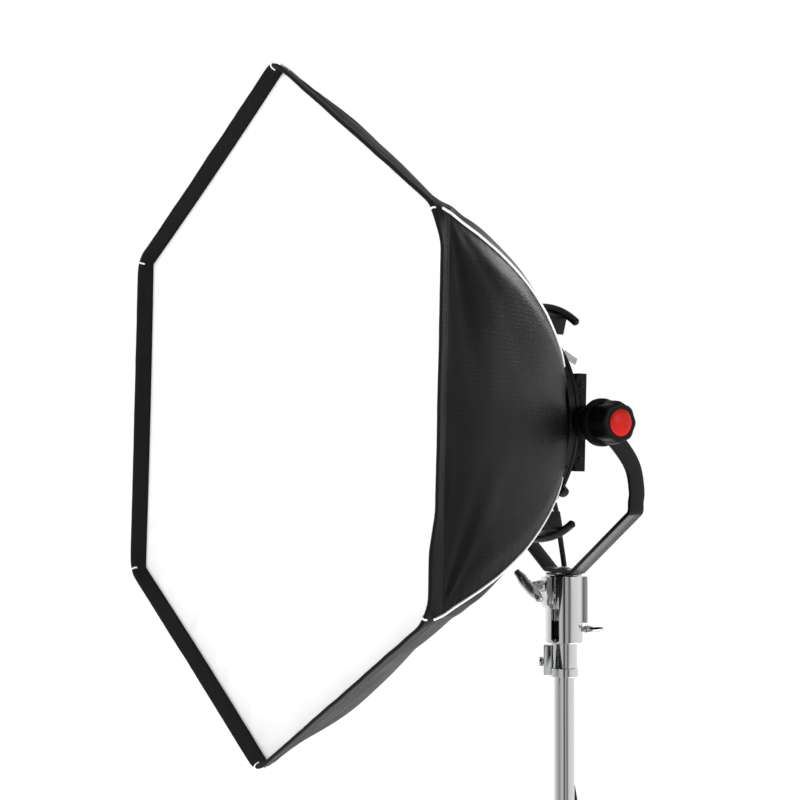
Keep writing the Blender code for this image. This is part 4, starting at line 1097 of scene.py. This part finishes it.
def make_trunnions():
    for side, sign in (("right", 1), ("left", -1)):
        flip = Matrix.Scale(sign, 4, (1, 0, 0))
        top, face, ease = 0.068, BLOCK_FACE, 0.008
        front, back = head_y(RING_DEPTH[1] + 2 * GAP), head_y(BLOCK_BACK)
        outline = [(front, -top + ease), (front + ease / 2, -top), (back, -top), (back, top),
                   (front + ease / 2, top), (front, top - ease)]
        plate = extruded("plate", outline, HOUSING_FLAT + GAP, face, "cast", HEAD, "X")
        carve(plate, turned("bore", [(0.0064, 0.124), (0.0064, 0.16)], "cast", HEAD, "X", sides=48))
        pieces = [eased(plate, 0.0012)]
        for end in (-1, 1):
            for height, *size in ((0.052, 0.0040, 0.0022), (0.036, 0.0026, 0.0014)):
                at = (face - 0.0002, (front + back) / 2, end * height)
                pieces.append(screw_head("plate_screw", at, (1, 0, 0), *size))
        whole = merge(f"side_block_{side}_shown", pieces)
        mirror_mesh(whole, flip)
        place(whole, "head", "black_paint", f"side_block_{side}")

        start, arm_face = BLOCK_FACE + GAP, ARM_X - BAR_THICK / 2 - GAP
        profile = [(SHAFT_RADIUS, 0.1300), (SHAFT_RADIUS, start), (HUB_SIZE - 0.001, start),
                   (HUB_SIZE, start + 0.001), (HUB_SIZE, 0.1570), (HUB_SIZE - 0.0008, 0.1578),
                   (HUB_SIZE - 0.0008, 0.1600), (HUB_SIZE, 0.1608), (HUB_SIZE, arm_face - 0.001),
                   (HUB_SIZE - 0.001, arm_face), (SHAFT_RADIUS, arm_face), (SHAFT_RADIUS, 0.2)]
        shaft = turned("shaft", profile, "cast", HEAD, "X", sides=96)
        carve(shaft, block("relief", (BLOCK_FACE - 0.001, 0.1475), (-0.03, head_y(RING_DEPTH[1]) + GAP),
                           (-0.03, 0.03), "cast", HEAD))
        eased(shaft, 0.0003, 2)
        mirror_mesh(shaft, flip)
        shaft.name = f"pivot_shaft_{side}_shown"
        place(shaft, "head", "black_paint", f"pivot_shaft_{side}")

        profile = ((0.0222, 0.0006, 0.1887), (0.0246, 0.0008, KNOB_X + 0.0006), (0.0268, 0.0010, 0.1902),
                   (0.0280, 0.0013, 0.1924), (0.0285, 0.0013, 0.1965), (0.0286, 0.0013, 0.2030),
                   (0.0285, 0.0012, 0.2090), (0.0282, 0.0011, 0.2145), (0.0277, 0.0010, 0.2180),
                   (0.0268, 0.0007, 0.2202), (0.0254, 0.0004, 0.2213), (0.0238, 0.0002, 0.2218),
                   (0.0215, 0.0, 0.2218), (0.0195, 0.0, 0.2215))
        knob = lobed(f"tilt_knob_{side}_shown", profile, 8, "rubber", HEAD, "X")
        mirror_mesh(knob, flip)
        place(knob, f"tilt_knob_{side}", "black_rubber", f"tilt_knob_{side}")
        profile = [(0.0182, 0.2217), (0.0184, CAP_X + 0.0004), (0.0182, CAP_X + 0.0010),
                   (0.0174, CAP_X + 0.0017), (0.0158, CAP_X + 0.0024), (0.0135, CAP_X + 0.0031),
                   (0.0110, CAP_X + 0.0037), (0.0080, CAP_X + 0.0042), (0.0045, CAP_X + 0.0045),
                   (0.0015, CAP_X + 0.0046), (0.0002, CAP_X + 0.0046)]
        cap = turned(f"knob_cap_{side}_shown", profile, "red", HEAD, "X", sides=96)
        mirror_mesh(cap, flip)
        place(cap, f"tilt_knob_{side}", "red_plastic", f"knob_cap_{side}")


def mirror_mesh(obj, flip):
    if flip[0][0] < 0:
        obj.data.transform(flip)
        obj.data.flip_normals()


def make_pull_tab():
    """A loop of pale webbing that pulls the ring's catch, drooping a little towards its end."""
    line = smooth_line([(0.1055, head_y(0.4146), 0.0970), (0.1075, head_y(0.4212), 0.0925),
                        (0.1090, head_y(0.4275), 0.0885), (0.1105, head_y(0.4335), 0.0850)], 0.002)
    section = [(-0.005, -0.0005), (0.005, -0.0005), (0.0052, 0), (0.005, 0.0005), (-0.005, 0.0005),
               (-0.0052, 0)]
    tab = swept("pull_tab_shown", line, section, "grey_web", HEAD, up=Vector((1, 0, 0.2)))
    place(tab, "head", "grey_fabric", "pull_tab")


# ---------------------------------------------------------------- yoke
YOKE = Matrix.Translation(PIVOT)
CRANK = 0.072
FOLD_X = 0.1655               # where each arm folds inward, a little closer in than its eye
ARM_END_Z, BASE_HALF, BASE_Z = -0.125, 0.032, -0.2175


def bar_ring(point, wide, thick, round_by=0.0011):
    """The flat bar's section with rounded corners, from its width and thickness directions."""
    w, t = BAR_WIDE / 2, BAR_THICK / 2
    ring = []
    for sw, st, first in ((1, 1, 0), (-1, 1, 90), (-1, -1, 180), (1, -1, 270)):
        centre_w, centre_t = sw * (w - round_by), st * (t - round_by)
        for i in range(4):
            angle = radians(first + 30 * i)
            ring.append(point + wide * (centre_w + round_by * cos(angle))
                        + thick * (centre_t + round_by * sin(angle)))
    return ring


def make_yoke():
    arm = smooth_line([(ARM_X, 0, 0), (ARM_X, 0.033, -0.026), (ARM_X - 0.002, 0.062, -0.060),
                       (FOLD_X + 0.002, CRANK, -0.095), (FOLD_X, CRANK, ARM_END_Z + 0.014)], 0.006)
    across, deep = Vector((1, 0, 0)), Vector((0, 1, 0))
    half = []
    for i, point in enumerate(arm):
        along = (arm[min(i + 1, len(arm) - 1)] - arm[max(i - 1, 0)]).normalized()
        half.append(bar_ring(point, across.cross(along), across))

    def bend(corner, before, after, radius):
        """Rings round a fold of the bar whose flat sides face the fold."""
        found = []
        half_turn = before.angle(after) / 2
        cut = radius * tan(half_turn)
        for i in range(9):
            t = i / 8
            a, b = corner - before * cut, corner + after * cut
            point = a * (1 - t) ** 2 + corner * 2 * t * (1 - t) + b * t ** 2
            along = (before * (1 - t) + after * t).normalized()
            found.append(bar_ring(point, deep, along.cross(deep)))
        return found

    down = Vector((0, 0, -1))
    lower = Vector((BASE_HALF - FOLD_X, 0, BASE_Z - ARM_END_Z)).normalized()
    inward = Vector((-1, 0, 0))
    folds_1 = bend(Vector((FOLD_X, CRANK, ARM_END_Z)), down, lower, 0.010)
    folds_2 = bend(Vector((BASE_HALF, CRANK, BASE_Z)), lower, inward, 0.010)
    count = len(half[-1])
    shift = min(range(count), key=lambda n: sum(
        (half[-1][i] - folds_1[0][(i + n) % count]).length for i in range(count)))
    half += [ring[shift:] + ring[:shift] for ring in folds_1 + folds_2]
    other = [[Vector((-p.x, p.y, p.z)) for p in ring] for ring in reversed(half)]
    bar = skin("bar", half + other, "gloss", YOKE)
    for sign in (1, -1):
        x = sorted((sign * (ARM_X - BAR_THICK / 2), sign * (ARM_X + BAR_THICK / 2)))
        eye = turned("eye", [(0.021, x[0]), (0.021, x[1])], "gloss", YOKE, "X", sides=80)
        carve(bar, eye, "UNION")
    for sign in (1, -1):
        carve(bar, turned("bore", [(0.0065, sign * 0.16), (0.0065, sign * 0.185)], "gloss", YOKE, "X",
                          sides=48))
    shade(bar.data, 35)
    bar.name = "yoke_bar_shown"
    place(bar, "yoke", "black_paint", "yoke_bar")

    start = ARM_X + BAR_THICK / 2 + GAP
    for side, sign in (("right", 1), ("left", -1)):
        profile = [(0.0065, start), (0.0305, start), (0.0328, start + 0.0016), (0.0330, start + 0.0030),
                   (0.0330, start + 0.0052), (0.0322, start + 0.0058), (0.0322, start + 0.0064),
                   (0.0330, start + 0.0070), (0.0330, 0.1848), (0.0322, 0.1866), (0.0300, 0.1875),
                   (0.0065, 0.1875)]
        disc = turned("disc", profile, "plastic", YOKE, "X", True, 128)
        eased(disc, 0.0003, 2)
        mirror_mesh(disc, Matrix.Scale(sign, 4, (1, 0, 0)))
        disc.name = f"friction_disc_{side}_shown"
        place(disc, "yoke", "black_paint", f"friction_disc_{side}")

    base_bottom, base_top = BASE_Z - BAR_THICK / 2, BASE_Z + BAR_THICK / 2
    at = Matrix.Translation(PIVOT + Vector((0, CRANK, 0)))
    drops = ((0.0052, GAP), (0.0257, GAP), (0.0260, 0.0008), (0.0260, 0.0018), (0.0256, 0.0022),
             (0.0146, 0.0023), (0.0140, 0.0030), (0.0140, 0.0345), (0.0121, 0.0368), (0.0120, 0.0375),
             (0.0120, 0.0445), (0.0121, 0.0452), (0.0140, 0.0475), (0.0140, 0.0712), (0.0118, 0.0738),
             (0.0052, 0.0738))
    profile = [(r, base_bottom - drop) for r, drop in drops]
    spigot = turned("spigot_shown", profile, "chrome", at, closed=True)
    # A black ring under the base plate: painted shade, standing for the shadow and dark reflection at the top
    # of the receiver.
    profile = [(0.0150, base_bottom - 0.0006), (0.0264, base_bottom - 0.0006),
               (0.0264, base_bottom - 0.0021), (0.0150, base_bottom - 0.0021)]
    painted_shade_ring = turned("painted_shade_ring", profile, "plastic", at, closed=True)
    place(merge("yoke_spigot_shown", [eased(spigot, 0.0003, 2), painted_shade_ring]), "yoke", "chrome", "yoke_spigot")
    profile = [(0.0050, base_top + GAP), (0.0100, base_top + GAP), (0.0100, base_top + 0.0010),
               (0.0088, base_top + 0.0020), (0.0062, base_top + 0.0026), (0.0036, base_top + 0.0027),
               (0.0034, base_top + 0.0010), (0.0002, base_top + 0.0010)]
    bolt = turned("spigot_bolt_shown", profile, "steel", at, sides=64)
    place(eased(bolt, 0.0002, 2), "yoke", "steel", "spigot_bolt")


# ---------------------------------------------------------------- stand
RECEIVER_Z = (1.178, 1.2762)
RECEIVER_RADIUS = 0.0275
COLLAR_Z = (1.128, 1.1775)
T_HANDLE = (1.2605, radians(258))
WING_KNOB = (1.1965, radians(52))
COLLAR_KNOB = (1.148, radians(232))
CLAMP_KNOB = (0.630, radians(140))
COLUMN_RADIUS = 0.0175
COLUMN_Z = (0.070, 0.6595)
LUG_REACH = 0.0300
CLAMP_Z = (0.600, 0.660)
BACK_BOSS = radians(58)
T_HANDLE_TURN = radians(-50)
WING_TURN = radians(72)
SLOT_HEADING = radians(-66)


def sideways(height, heading):
    """The matrix of a piece modelled along +Z that points level along a heading from the stand's axis."""
    return (STAND @ Matrix.Translation((0, 0, height)) @ Matrix.Rotation(heading, 4, "Z")
            @ Matrix.Rotation(radians(90), 4, "Y"))


def radial_block(name, r, half, z, heading, material):
    """A box that stands off the stand's axis along a heading."""
    return block(name, r, (-half, half), z, material, STAND @ Matrix.Rotation(heading, 4, "Z"))


def drill(obj, height, heading, material="chrome"):
    """The hole of a screw that points at the stand's axis."""
    return carve(obj, turned("hole", [(0.0044, 0), (0.0044, 0.06)], material, sideways(height, heading),
                             sides=32))


def make_receiver():
    low, high = RECEIVER_Z
    r, bore = RECEIVER_RADIUS, 0.0148
    profile = [(r - 0.0020, high), (r - 0.0005, high - 0.0005), (r, high - 0.0020), (r, low + 0.0006),
               (r - 0.0006, low), (0.006, low), (0.006, low + 0.008), (bore, low + 0.008), (bore, high)]
    body = turned("receiver", profile, "chrome", STAND, closed=True, sides=128)
    back_boss = radial_block("boss", (r - 0.010, r + 0.0075), 0.008, (low + 0.028, high - 0.002), BACK_BOSS,
                             "chrome")
    carve(body, eased(back_boss, 0.0030, 4), "UNION")
    land = radial_block("land", (r - 0.010, r + 0.0050), 0.0115, (low + 0.054, high - 0.002), T_HANDLE[1],
                        "chrome")
    carve(body, eased(land, 0.0022), "UNION")
    step = radial_block("step", (r - 0.010, r + 0.0022), 0.0140, (low + 0.0505, low + 0.0575), T_HANDLE[1],
                        "chrome")
    carve(body, eased(step, 0.0012), "UNION")
    carve(body, turned("way", [(bore, low + 0.008), (bore, high + 0.001)], "chrome", STAND, sides=128))
    carve(body, radial_block("window", (0.010, 0.040), 0.0064, (low + 0.007, low + 0.0500), SLOT_HEADING,
                             "chrome"))
    for screw in (T_HANDLE, WING_KNOB):
        drill(body, *screw)
    eased(body, 0.0005, 2, 40)
    strip = radial_block("strip", (0.0150, 0.0205), 0.0048, (low + 0.0085, low + 0.0315), SLOT_HEADING,
                         "rubber")
    strip_top = radial_block("strip_top", (0.0150, 0.0205), 0.0048, (low + 0.0325, low + 0.0485),
                             SLOT_HEADING, "steel")
    whole = merge("stand_receiver_shown", [body, eased(strip, 0.0006, 2), eased(strip_top, 0.0006, 2)])
    place(whole, "riser", "chrome", "stand_receiver")

    at = sideways(*T_HANDLE)
    profile = [(0.004, 0.0155), (0.004, 0.0330), (0.0082, 0.0335), (0.0090, 0.0350), (0.0090, 0.0405),
               (0.0084, 0.0430), (0.0078, 0.0470), (0.0076, 0.0560), (0.0056, 0.0605)]
    stem = turned("stem", profile, "chrome", at, sides=48)
    lever = at @ Matrix.Rotation(T_HANDLE_TURN, 4, "Z")
    line = smooth_line([(0, -0.0295, 0.0690), (0, -0.0200, 0.0650), (0, -0.0095, 0.0605), (0, 0, 0.0560),
                        (0, 0.0090, 0.0515), (0, 0.0180, 0.0475), (0, 0.0275, 0.0455)], 0.0012)

    def wing(t):
        out = abs(2 * t - 1)
        high_by = 0.0090 - 0.0028 * ease_step(out, 0.30, 0.85)
        wide = 0.0084 - 0.0026 * ease_step(out, 0.3, 0.9)
        close = sqrt(max(0.02, 1 - max(0.0, (out - 0.86) / 0.14) ** 2))
        return [(a * wide * close, b * high_by * close) for a, b in disc_section(1.0, 20)]

    grip = swept("grip", line, wing, "satin", lever, up=Vector((0, 0, 1)))
    place(merge("t_handle_shown", [eased(stem, 0.0004, 2), grip]), "t_handle", "chrome", "t_handle")

    at = sideways(*WING_KNOB)
    stem = turned("stem", [(0.004, 0.0155), (0.004, 0.0280), (0.0058, 0.0290), (0.0062, 0.0310),
                           (0.0062, 0.0350), (0.0050, 0.0385), (0.0048, 0.0420)], "chrome", at, sides=48)
    blade_at = at @ Matrix.Rotation(WING_TURN, 4, "Z")
    right = [(0.0066, 0.043), (0.0098, 0.0515), (0.0088, 0.0565), (0.0060, 0.0578), (0.0028, 0.0535)]
    left = [(-a, b) for a, b in reversed(right)]
    outline = [(-0.0045, 0.033), (0.0045, 0.033), *right, (0, 0.0520), *left]
    blade = extruded("blade", outline, -0.0022, 0.0022, "chrome", blade_at)
    place(merge("wing_knob_shown", [eased(stem, 0.0004, 2), eased(blade, 0.0010, 3)]), "wing_knob", "chrome",
          "wing_knob")


def make_collar_and_riser():
    low, high = COLLAR_Z
    r, flange = 0.0190, 0.0208
    profile = [(0.0154, low), (flange - 0.0003, low), (flange, low + 0.0003), (flange, low + 0.0122),
               (flange - 0.0005, low + 0.013), (r, low + 0.0132), (r, high - 0.0012), (r - 0.0008, high),
               (0.0154, high)]
    collar = turned("collar", profile, "chrome", STAND, closed=True, sides=112)
    lug = radial_block("lug", (0.017, LUG_REACH), 0.0070, (low + 0.001, high - 0.004), COLLAR_KNOB[1],
                       "chrome")
    carve(collar, eased(lug, 0.0020, 4), "UNION")
    carve(collar, radial_block("lug_split", (0.0215, 0.040), 0.0010, (COLLAR_KNOB[0] + 0.0090, high),
                               COLLAR_KNOB[1], "chrome"))
    drill(collar, *COLLAR_KNOB)
    collar.name = "riser_collar_shown"
    place(eased(collar, 0.0005, 2, 40), "riser", "chrome", "riser_collar")
    at = sideways(*COLLAR_KNOB)
    face = LUG_REACH + 0.0062
    profile = [(0.004, 0.0156), (0.004, LUG_REACH + GAP), (0.0072, LUG_REACH + 0.0006),
               (0.0077, LUG_REACH + 0.0012), (0.0077, face - 0.0008), (0.0070, face), (0.0042, face),
               (0.0040, face - 0.0030), (0.0002, face - 0.0032)]
    knob = turned("knob", profile, "chrome", at, sides=48)
    # A near-black hexagon in the knob's face: painted shade for its socket.
    dark = turned("dark", [(0.0039, face - 0.0031), (0.0039, face - 0.0022), (0.0002, face - 0.0021)],
                  "dark", at, sides=6)
    place(merge("collar_knob_shown", [eased(knob, 0.0003, 2), dark]), "collar_knob", "black_rubber",
          "collar_knob")

    top = RECEIVER_Z[0] - GAP
    riser = turned("riser_tube_shown", [(RISER_RADIUS, top), (RISER_RADIUS, 0.3205), (0.0147, 0.32),
                                        (0.0135, 0.32), (0.0135, top)], "chrome", STAND, closed=True,
                   sides=96)
    place(riser, "riser", "chrome", "riser_tube")


def make_column():
    r, bore = COLUMN_RADIUS, 0.0158
    low, high = COLUMN_Z
    column = turned("column_tube_shown", [(r, high), (r, low + 0.0006), (r - 0.0006, low), (bore, low),
                                          (bore, high)], "chrome", STAND, closed=True, sides=112)
    drill(column, *CLAMP_KNOB)
    shade(column.data, 35)
    place(column, "stand_base", "chrome", "column_tube")
    base, top = CLAMP_Z
    profile = [(r + 0.0086, top), (r + 0.0106, top - 0.0012), (r + 0.011, top - 0.003),
               (r + 0.011, base + 0.030), (r + 0.0100, base + 0.0285), (r + 0.0100, base + 0.0265),
               (r + 0.011, base + 0.025), (r + 0.011, base + 0.014), (r + 0.006, base), (r + GAP, base),
               (r + GAP, top)]
    clamp = turned("clamp", profile, "cast", STAND, closed=True, sides=112)
    drill(clamp, *CLAMP_KNOB, "cast")
    clamp.name = "column_clamp_shown"
    place(eased(clamp, 0.0006, 2, 40), "stand_base", "black_paint", "column_clamp")
    profile = ((0.004, 0, 0.0156), (0.004, 0, 0.0306), (0.0088, 0, 0.0312), (0.0092, 0, 0.0320),
               (0.0092, 0, 0.0362), (0.0150, 0.0006, 0.0385), (0.0182, 0.0009, 0.0410),
               (0.0190, 0.0010, 0.0440), (0.0188, 0.0010, 0.0490), (0.0180, 0.0008, 0.0525),
               (0.0160, 0.0004, 0.0546), (0.0130, 0.0, 0.0552))
    knob = lobed("clamp_knob_shown", profile, 9, "rubber", sideways(*CLAMP_KNOB), "Z", 144)
    place(knob, "clamp_knob", "black_rubber", "clamp_knob")


def make_legs():
    foot_r, flat, chamfer, reach, leg_r = 0.0155, 0.0015, 0.005, 0.505, 0.011
    floor_z = foot_r - flat
    for number, (degrees, body) in enumerate(((-90, "stand_base"), (30, "leg_right"), (150, "leg_left")), 1):
        at = STAND @ Matrix.Rotation(radians(degrees), 4, "Z")
        hub_low = 0.095 + (number - 1) * (0.036 + 2 * GAP)
        hub_r, bore, mid = COLUMN_RADIUS + 0.0105, COLUMN_RADIUS + GAP, hub_low + 0.018
        hub_profile = [(bore, hub_low), (hub_r - 0.0008, hub_low), (hub_r, hub_low + 0.0008),
                       (hub_r, hub_low + 0.0352), (hub_r - 0.0008, hub_low + 0.036),
                       (bore, hub_low + 0.036)]
        hub = turned("hub", hub_profile, "chrome", at, closed=True, sides=112)
        line = smooth_line([
            (COLUMN_RADIUS + 0.004, 0, mid), (0.060, 0, mid), (0.125, 0, mid - 0.012),
            (0.290, 0, floor_z + 0.4 * (mid - floor_z)), (0.395, 0, floor_z + 0.010), (0.440, 0, floor_z),
            (0.470, 0, floor_z), (reach - 0.004, 0, floor_z)], 0.008)
        tube = swept("leg", line, disc_section(leg_r, 32), "chrome", at, up=Vector((0, 0, 1)))
        carve(hub, tube, "UNION")
        shade(hub.data, 35)
        weld_line = even_line([Vector((0.0285 + 0.0006 * cos(2 * a), 0.0115 * cos(a), mid + 0.0115 * sin(a)))
                               for a in (2 * pi * i / 48 for i in range(49))], 0.0015)
        weld = swept("weld", weld_line, disc_section(0.0011, 8), "steel", at, up=Vector((1, 0, 0)))
        place(merge(f"leg_{number}_shown", [hub, weld]), body, "chrome", f"leg_{number}")
        inner, mouth, tip = leg_r + 2 * GAP, reach - 0.048, reach + foot_r
        profile = [(inner, mouth), (foot_r - 0.0025, mouth), (foot_r - 0.0008, mouth + 0.0010),
                   (foot_r, mouth + 0.0030)]
        for i in range(3):
            x = mouth + 0.0080 + 0.0075 * i
            profile += [(foot_r, x), (foot_r - 0.0009, x + 0.0006), (foot_r - 0.0009, x + 0.0020),
                        (foot_r, x + 0.0026)]
        for i in range(7):
            a = radians(15 * i)
            profile.append((foot_r - chamfer * (1 - cos(a)), tip - chamfer * (1 - sin(a))))
        profile += [(0.003, tip), (0.003, reach - 0.0035), (inner, reach - 0.0035)]
        boot = turned("boot", profile, "rubber", None, "X", True, 72)
        for vertex in boot.data.vertices:
            vertex.co.z = max(vertex.co.z, -floor_z)
        boot.data.transform(Matrix.Translation((0, 0, floor_z)))
        boot.matrix_world = at
        boot.name = f"foot_{number}_shown"
        shade(boot.data, 40)
        place(boot, body, "black_rubber", f"foot_{number}")


def make_strap():
    """A hook-and-loop strap round the riser and the cable, with its loose end laid over."""
    def outline(clearance, sides=64):
        large, small = RISER_RADIUS + clearance, CABLE_RADIUS + clearance
        lean = asin((large - small) / TIE_Y)
        ring = []
        for i in range(sides + 1):
            angle = pi - lean + (pi + 2 * lean) * i / sides
            ring.append(Vector((large * cos(angle), large * sin(angle), 0)))
        for i in range(21):
            angle = lean + (pi - 2 * lean) * i / 20
            ring.append(Vector((small * cos(angle), TIE_Y + small * sin(angle), 0)))
        return ring

    def band(name, inside, outside, z0, z1, first=None, last=None):
        inner, outer = outline(inside), outline(outside)
        if first is None:
            rings = []
            for ring, z in ((inner, z0 + 0.0004), (inner, z1 - 0.0004), (outer, z1 - 0.0001),
                            (outer, z0 + 0.0001)):
                rings.append([p + Vector((0, 0, z)) for p in ring])
            return skin(name, rings, "web", STAND, closed=True)
        line = [(a + b) / 2 + Vector((0, 0, (z0 + z1) / 2))
                for a, b in zip(inner[first:last], outer[first:last])]
        half, thick = (z1 - z0) / 2, (outside - inside) / 2
        section = [(half * a, thick * b) for a, b in ((-1, -1), (1, -1), (1, 1), (-1, 1))]
        return swept(name, line, section, "web", STAND, up=Vector((0, 0, 1)))

    low, high = TIE_Z
    strap = band("strap", 0.0008, 0.0020, low, high)
    end = band("strap_end", 0.0020, 0.0031, low + 0.0002, high - 0.0002, 8, 40)
    place(merge("cable_tie_shown", [strap, end]), "riser", "black_rubber", "cable_tie")


def make_fan():
    """The fan's frame and rotor behind the rear grille."""
    front, back = head_y(0.4735), head_y(0.4875)
    ring = turned("fan_ring", [(0.039, front), (0.039, back), (0.0355, back), (0.0355, front)], "plastic",
                  HEAD, "Y", True, 96)
    plate = turned("motor_plate", [(0.011, front), (0.011, front + 0.0016)], "plastic", HEAD, "Y", sides=64)
    pieces = [eased(ring, 0.0005, 2), plate]
    for i in range(3):
        strut = block("strut", (-0.002, 0.002), (front, front + 0.0015), (0.008, 0.0372), "plastic", HEAD)
        strut.data.transform(Matrix.Rotation(2 * pi * i / 3, 4, "Y"))
        pieces.append(strut)
    place(merge("fan_frame_shown", pieces), "head", "black_rubber", "fan_frame")
    front, back = front + 0.0026, back - 0.0005
    hub = turned("hub", [(0.012, front), (0.012, back - 0.001), (0.011, back), (0.0002, back)], "plastic",
                 HEAD, "Y", sides=64)
    blades = [hub]
    for i in range(7):
        rings = []
        for k in range(9):
            r = 0.0112 + 0.0223 * k / 8
            pitch = radians(52 - 22 * k / 8)
            sweep = radians(14 * k / 8)
            chord = 0.0050
            ring = []
            for a, b in ((-1, -1), (0, -0.6), (1, -1), (1, 1), (0, 1.4), (-1, 1)):
                u, w = a * chord * cos(pitch), a * chord * sin(pitch)
                y = (front + back) / 2 + max(-0.0052, min(0.0052, w)) + b * 0.0004
                angle = 2 * pi * i / 7 + sweep + u / r
                ring.append(Vector((r * cos(angle), y, r * sin(angle))))
            rings.append(ring)
        blades.append(skin("blade", rings, "plastic", HEAD))
    place(merge("fan_rotor_shown", blades), "fan_rotor", "black_rubber", "fan_rotor")


make_rods()
make_ring()
make_housing()
make_handles()
make_trunnions()
make_pull_tab()
make_fan()
make_yoke()
make_receiver()
make_collar_and_riser()
make_column()
make_legs()
make_strap()


# ---------------------------------------------------------------- CAD nodes that stay shown
def finish_cad_nodes():
    for name, obj in frame["nodes"].items():
        if obj.hide_render:
            continue
        slot = obj.data.materials[0].name.split(".")[0] if obj.data.materials else None
        only_material(obj, MAT[SLOTS.get(slot, "paint")])
        shade(obj.data, 35)


# ---------------------------------------------------------------- floor and light
# (heading in degrees, brightness) of what stands round the object: dark strips between pale walls
ROOM = ((-180, 1.0), (-150, 0.75), (-125, 0.55), (-110, 0.45), (-95, 0.32), (-85, 0.34), (-72, 0.50),
        (-50, 0.60), (-44, 0.30), (-38, 0.02), (-33, 0.02), (-28, 0.36), (-22, 0.46), (-14, 0.38),
        (-7, 0.15), (0, 0.15), (8, 0.56), (22, 0.72), (60, 0.82), (110, 0.88), (150, 1.0), (179.9, 1.0))
ROOM_HIGH = 0.30
SCREEN_RADIUS, SCREEN_TOP = 1.2, 1.94
CARD, CARD_LIGHT = (-0.45, 1.05, 0.55), 4.6


def room_strips(owner, towards):
    """Brightness by heading round the upright axis."""
    parts = node(owner, "ShaderNodeSeparateXYZ", Vector=towards)
    heading = math_node(owner, "ARCTAN2", parts.outputs["Y"], parts.outputs["X"])
    rounds = math_node(owner, "DIVIDE", heading, 2 * pi)
    share = math_node(owner, "FRACT", math_node(owner, "ADD", rounds, 1.0))
    strips = ramp(owner, share, sorted(((degrees % 360) / 360, (level, level, level))
                                       for degrees, level in ROOM))
    return strips, parts


def studio_world():
    """White for the camera. What the object reflects is a pale room with dark upright strips."""
    world = bpy.data.worlds.new("studio")
    world.use_nodes = True
    background = world.node_tree.nodes["Background"]
    links = world.node_tree.links
    strips, parts = room_strips(world, node(world, "ShaderNodeTexCoord").outputs["Generated"])
    flat = math_node(world, "ABSOLUTE", parts.outputs["Z"])
    height = node(world, "ShaderNodeMapRange", Value=flat, From_Min=0.10, From_Max=0.50)
    toned = node(world, "ShaderNodeMixRGB", Fac=height.outputs["Result"], Color1=strips,
                 Color2=(ROOM_HIGH, ROOM_HIGH, ROOM_HIGH, 1))
    seen = node(world, "ShaderNodeLightPath").outputs["Is Camera Ray"]
    colour = node(world, "ShaderNodeMixRGB", Fac=seen, Color1=toned.outputs["Color"], Color2=(1, 1, 1, 1))
    links.new(colour.outputs["Color"], background.inputs["Color"])
    background.inputs["Strength"].default_value = 1.0
    bpy.context.scene.world = world


def square(name, x, y, z, half, material):
    """A level square for the stage."""
    corners = [(x + a * half, y + b * half, z) for a, b in ((-1, -1), (1, -1), (1, 1), (-1, 1))]
    return mesh_object(name, corners, [(0, 1, 2, 3)], material)


def reflected_only(obj):
    """A stage piece that only reflections see."""
    obj.visible_camera = obj.visible_diffuse = obj.visible_shadow = obj.visible_transmission = False


def reflected_screen():
    """The same strips on a round screen and floor that only reflections see, so that chrome stands out."""
    points, faces, sides = [], [], 96
    for height in (-0.0001, SCREEN_TOP):
        points += circle(SCREEN_RADIUS, height, sides, "Z")
    points.append((0, 0, -0.0001))
    for i in range(sides):
        j = (i + 1) % sides
        faces += [(i, j, sides + j, sides + i), (i, j, 2 * sides)]
    screen = mesh_object("reflected_screen", points, faces, "dark", STAND)
    material = principled("screen_strips", (0, 0, 0), 1.0, Specular_IOR_Level=0.0, Emission_Strength=1.0)
    strips, _ = room_strips(material, node(material, "ShaderNodeTexCoord").outputs["Object"])
    material.node_tree.links.new(strips, shader_of(material).inputs["Emission Color"])
    only_material(screen, material)
    reflected_only(screen)


def reflected_card():
    """A bright card on the floor, seen only in reflections: it lights the undersides of bare bars."""
    x, y, half = CARD
    card = square("reflected_card", x, y, 0.01, half, "dark")
    only_material(card, principled("card_light", (0, 0, 0), 1.0, Emission_Color=(1, 1, 1, 1),
                                   Emission_Strength=CARD_LIGHT, Specular_IOR_Level=0.0))
    reflected_only(card)


def make_stage():
    floor = square("floor", 0, 0, -0.0003, 60.0, "diffuser")
    only_material(floor, principled("floor_white", (0.80, 0.80, 0.80), 0.7, Emission_Color=(1, 1, 1, 1),
                                    Emission_Strength=0.76, Specular_IOR_Level=0.0))
    studio_world()
    reflected_screen()
    reflected_card()
    for name, place_at, target, size, power in (
        ("key", (0.6, -3.4, 3.0), (0, -0.3, 1.5), 1.8, 70),
        ("side", (3.6, 1.4, 2.2), (0, 0.1, 1.4), 0.8, 14),
        ("rear", (-1.0, 3.2, 2.6), (0, 0.1, 1.3), 1.2, 45),
        ("low", (1.6, -0.2, 0.10), (0.1, -0.1, 1.5), 1.4, 42),
    ):
        data = bpy.data.lights.new(name, "AREA")
        data.size = size
        data.energy = power
        lamp = bpy.data.objects.new(name, data)
        bpy.context.scene.collection.objects.link(lamp)
        lamp.location = place_at
        lamp.rotation_euler = (Vector(target) - Vector(place_at)).to_track_quat("-Z", "Y").to_euler()
        lamp.visible_glossy = name != "low"
    bpy.context.scene.view_settings.view_transform = "Standard"


finish_cad_nodes()
make_stage()
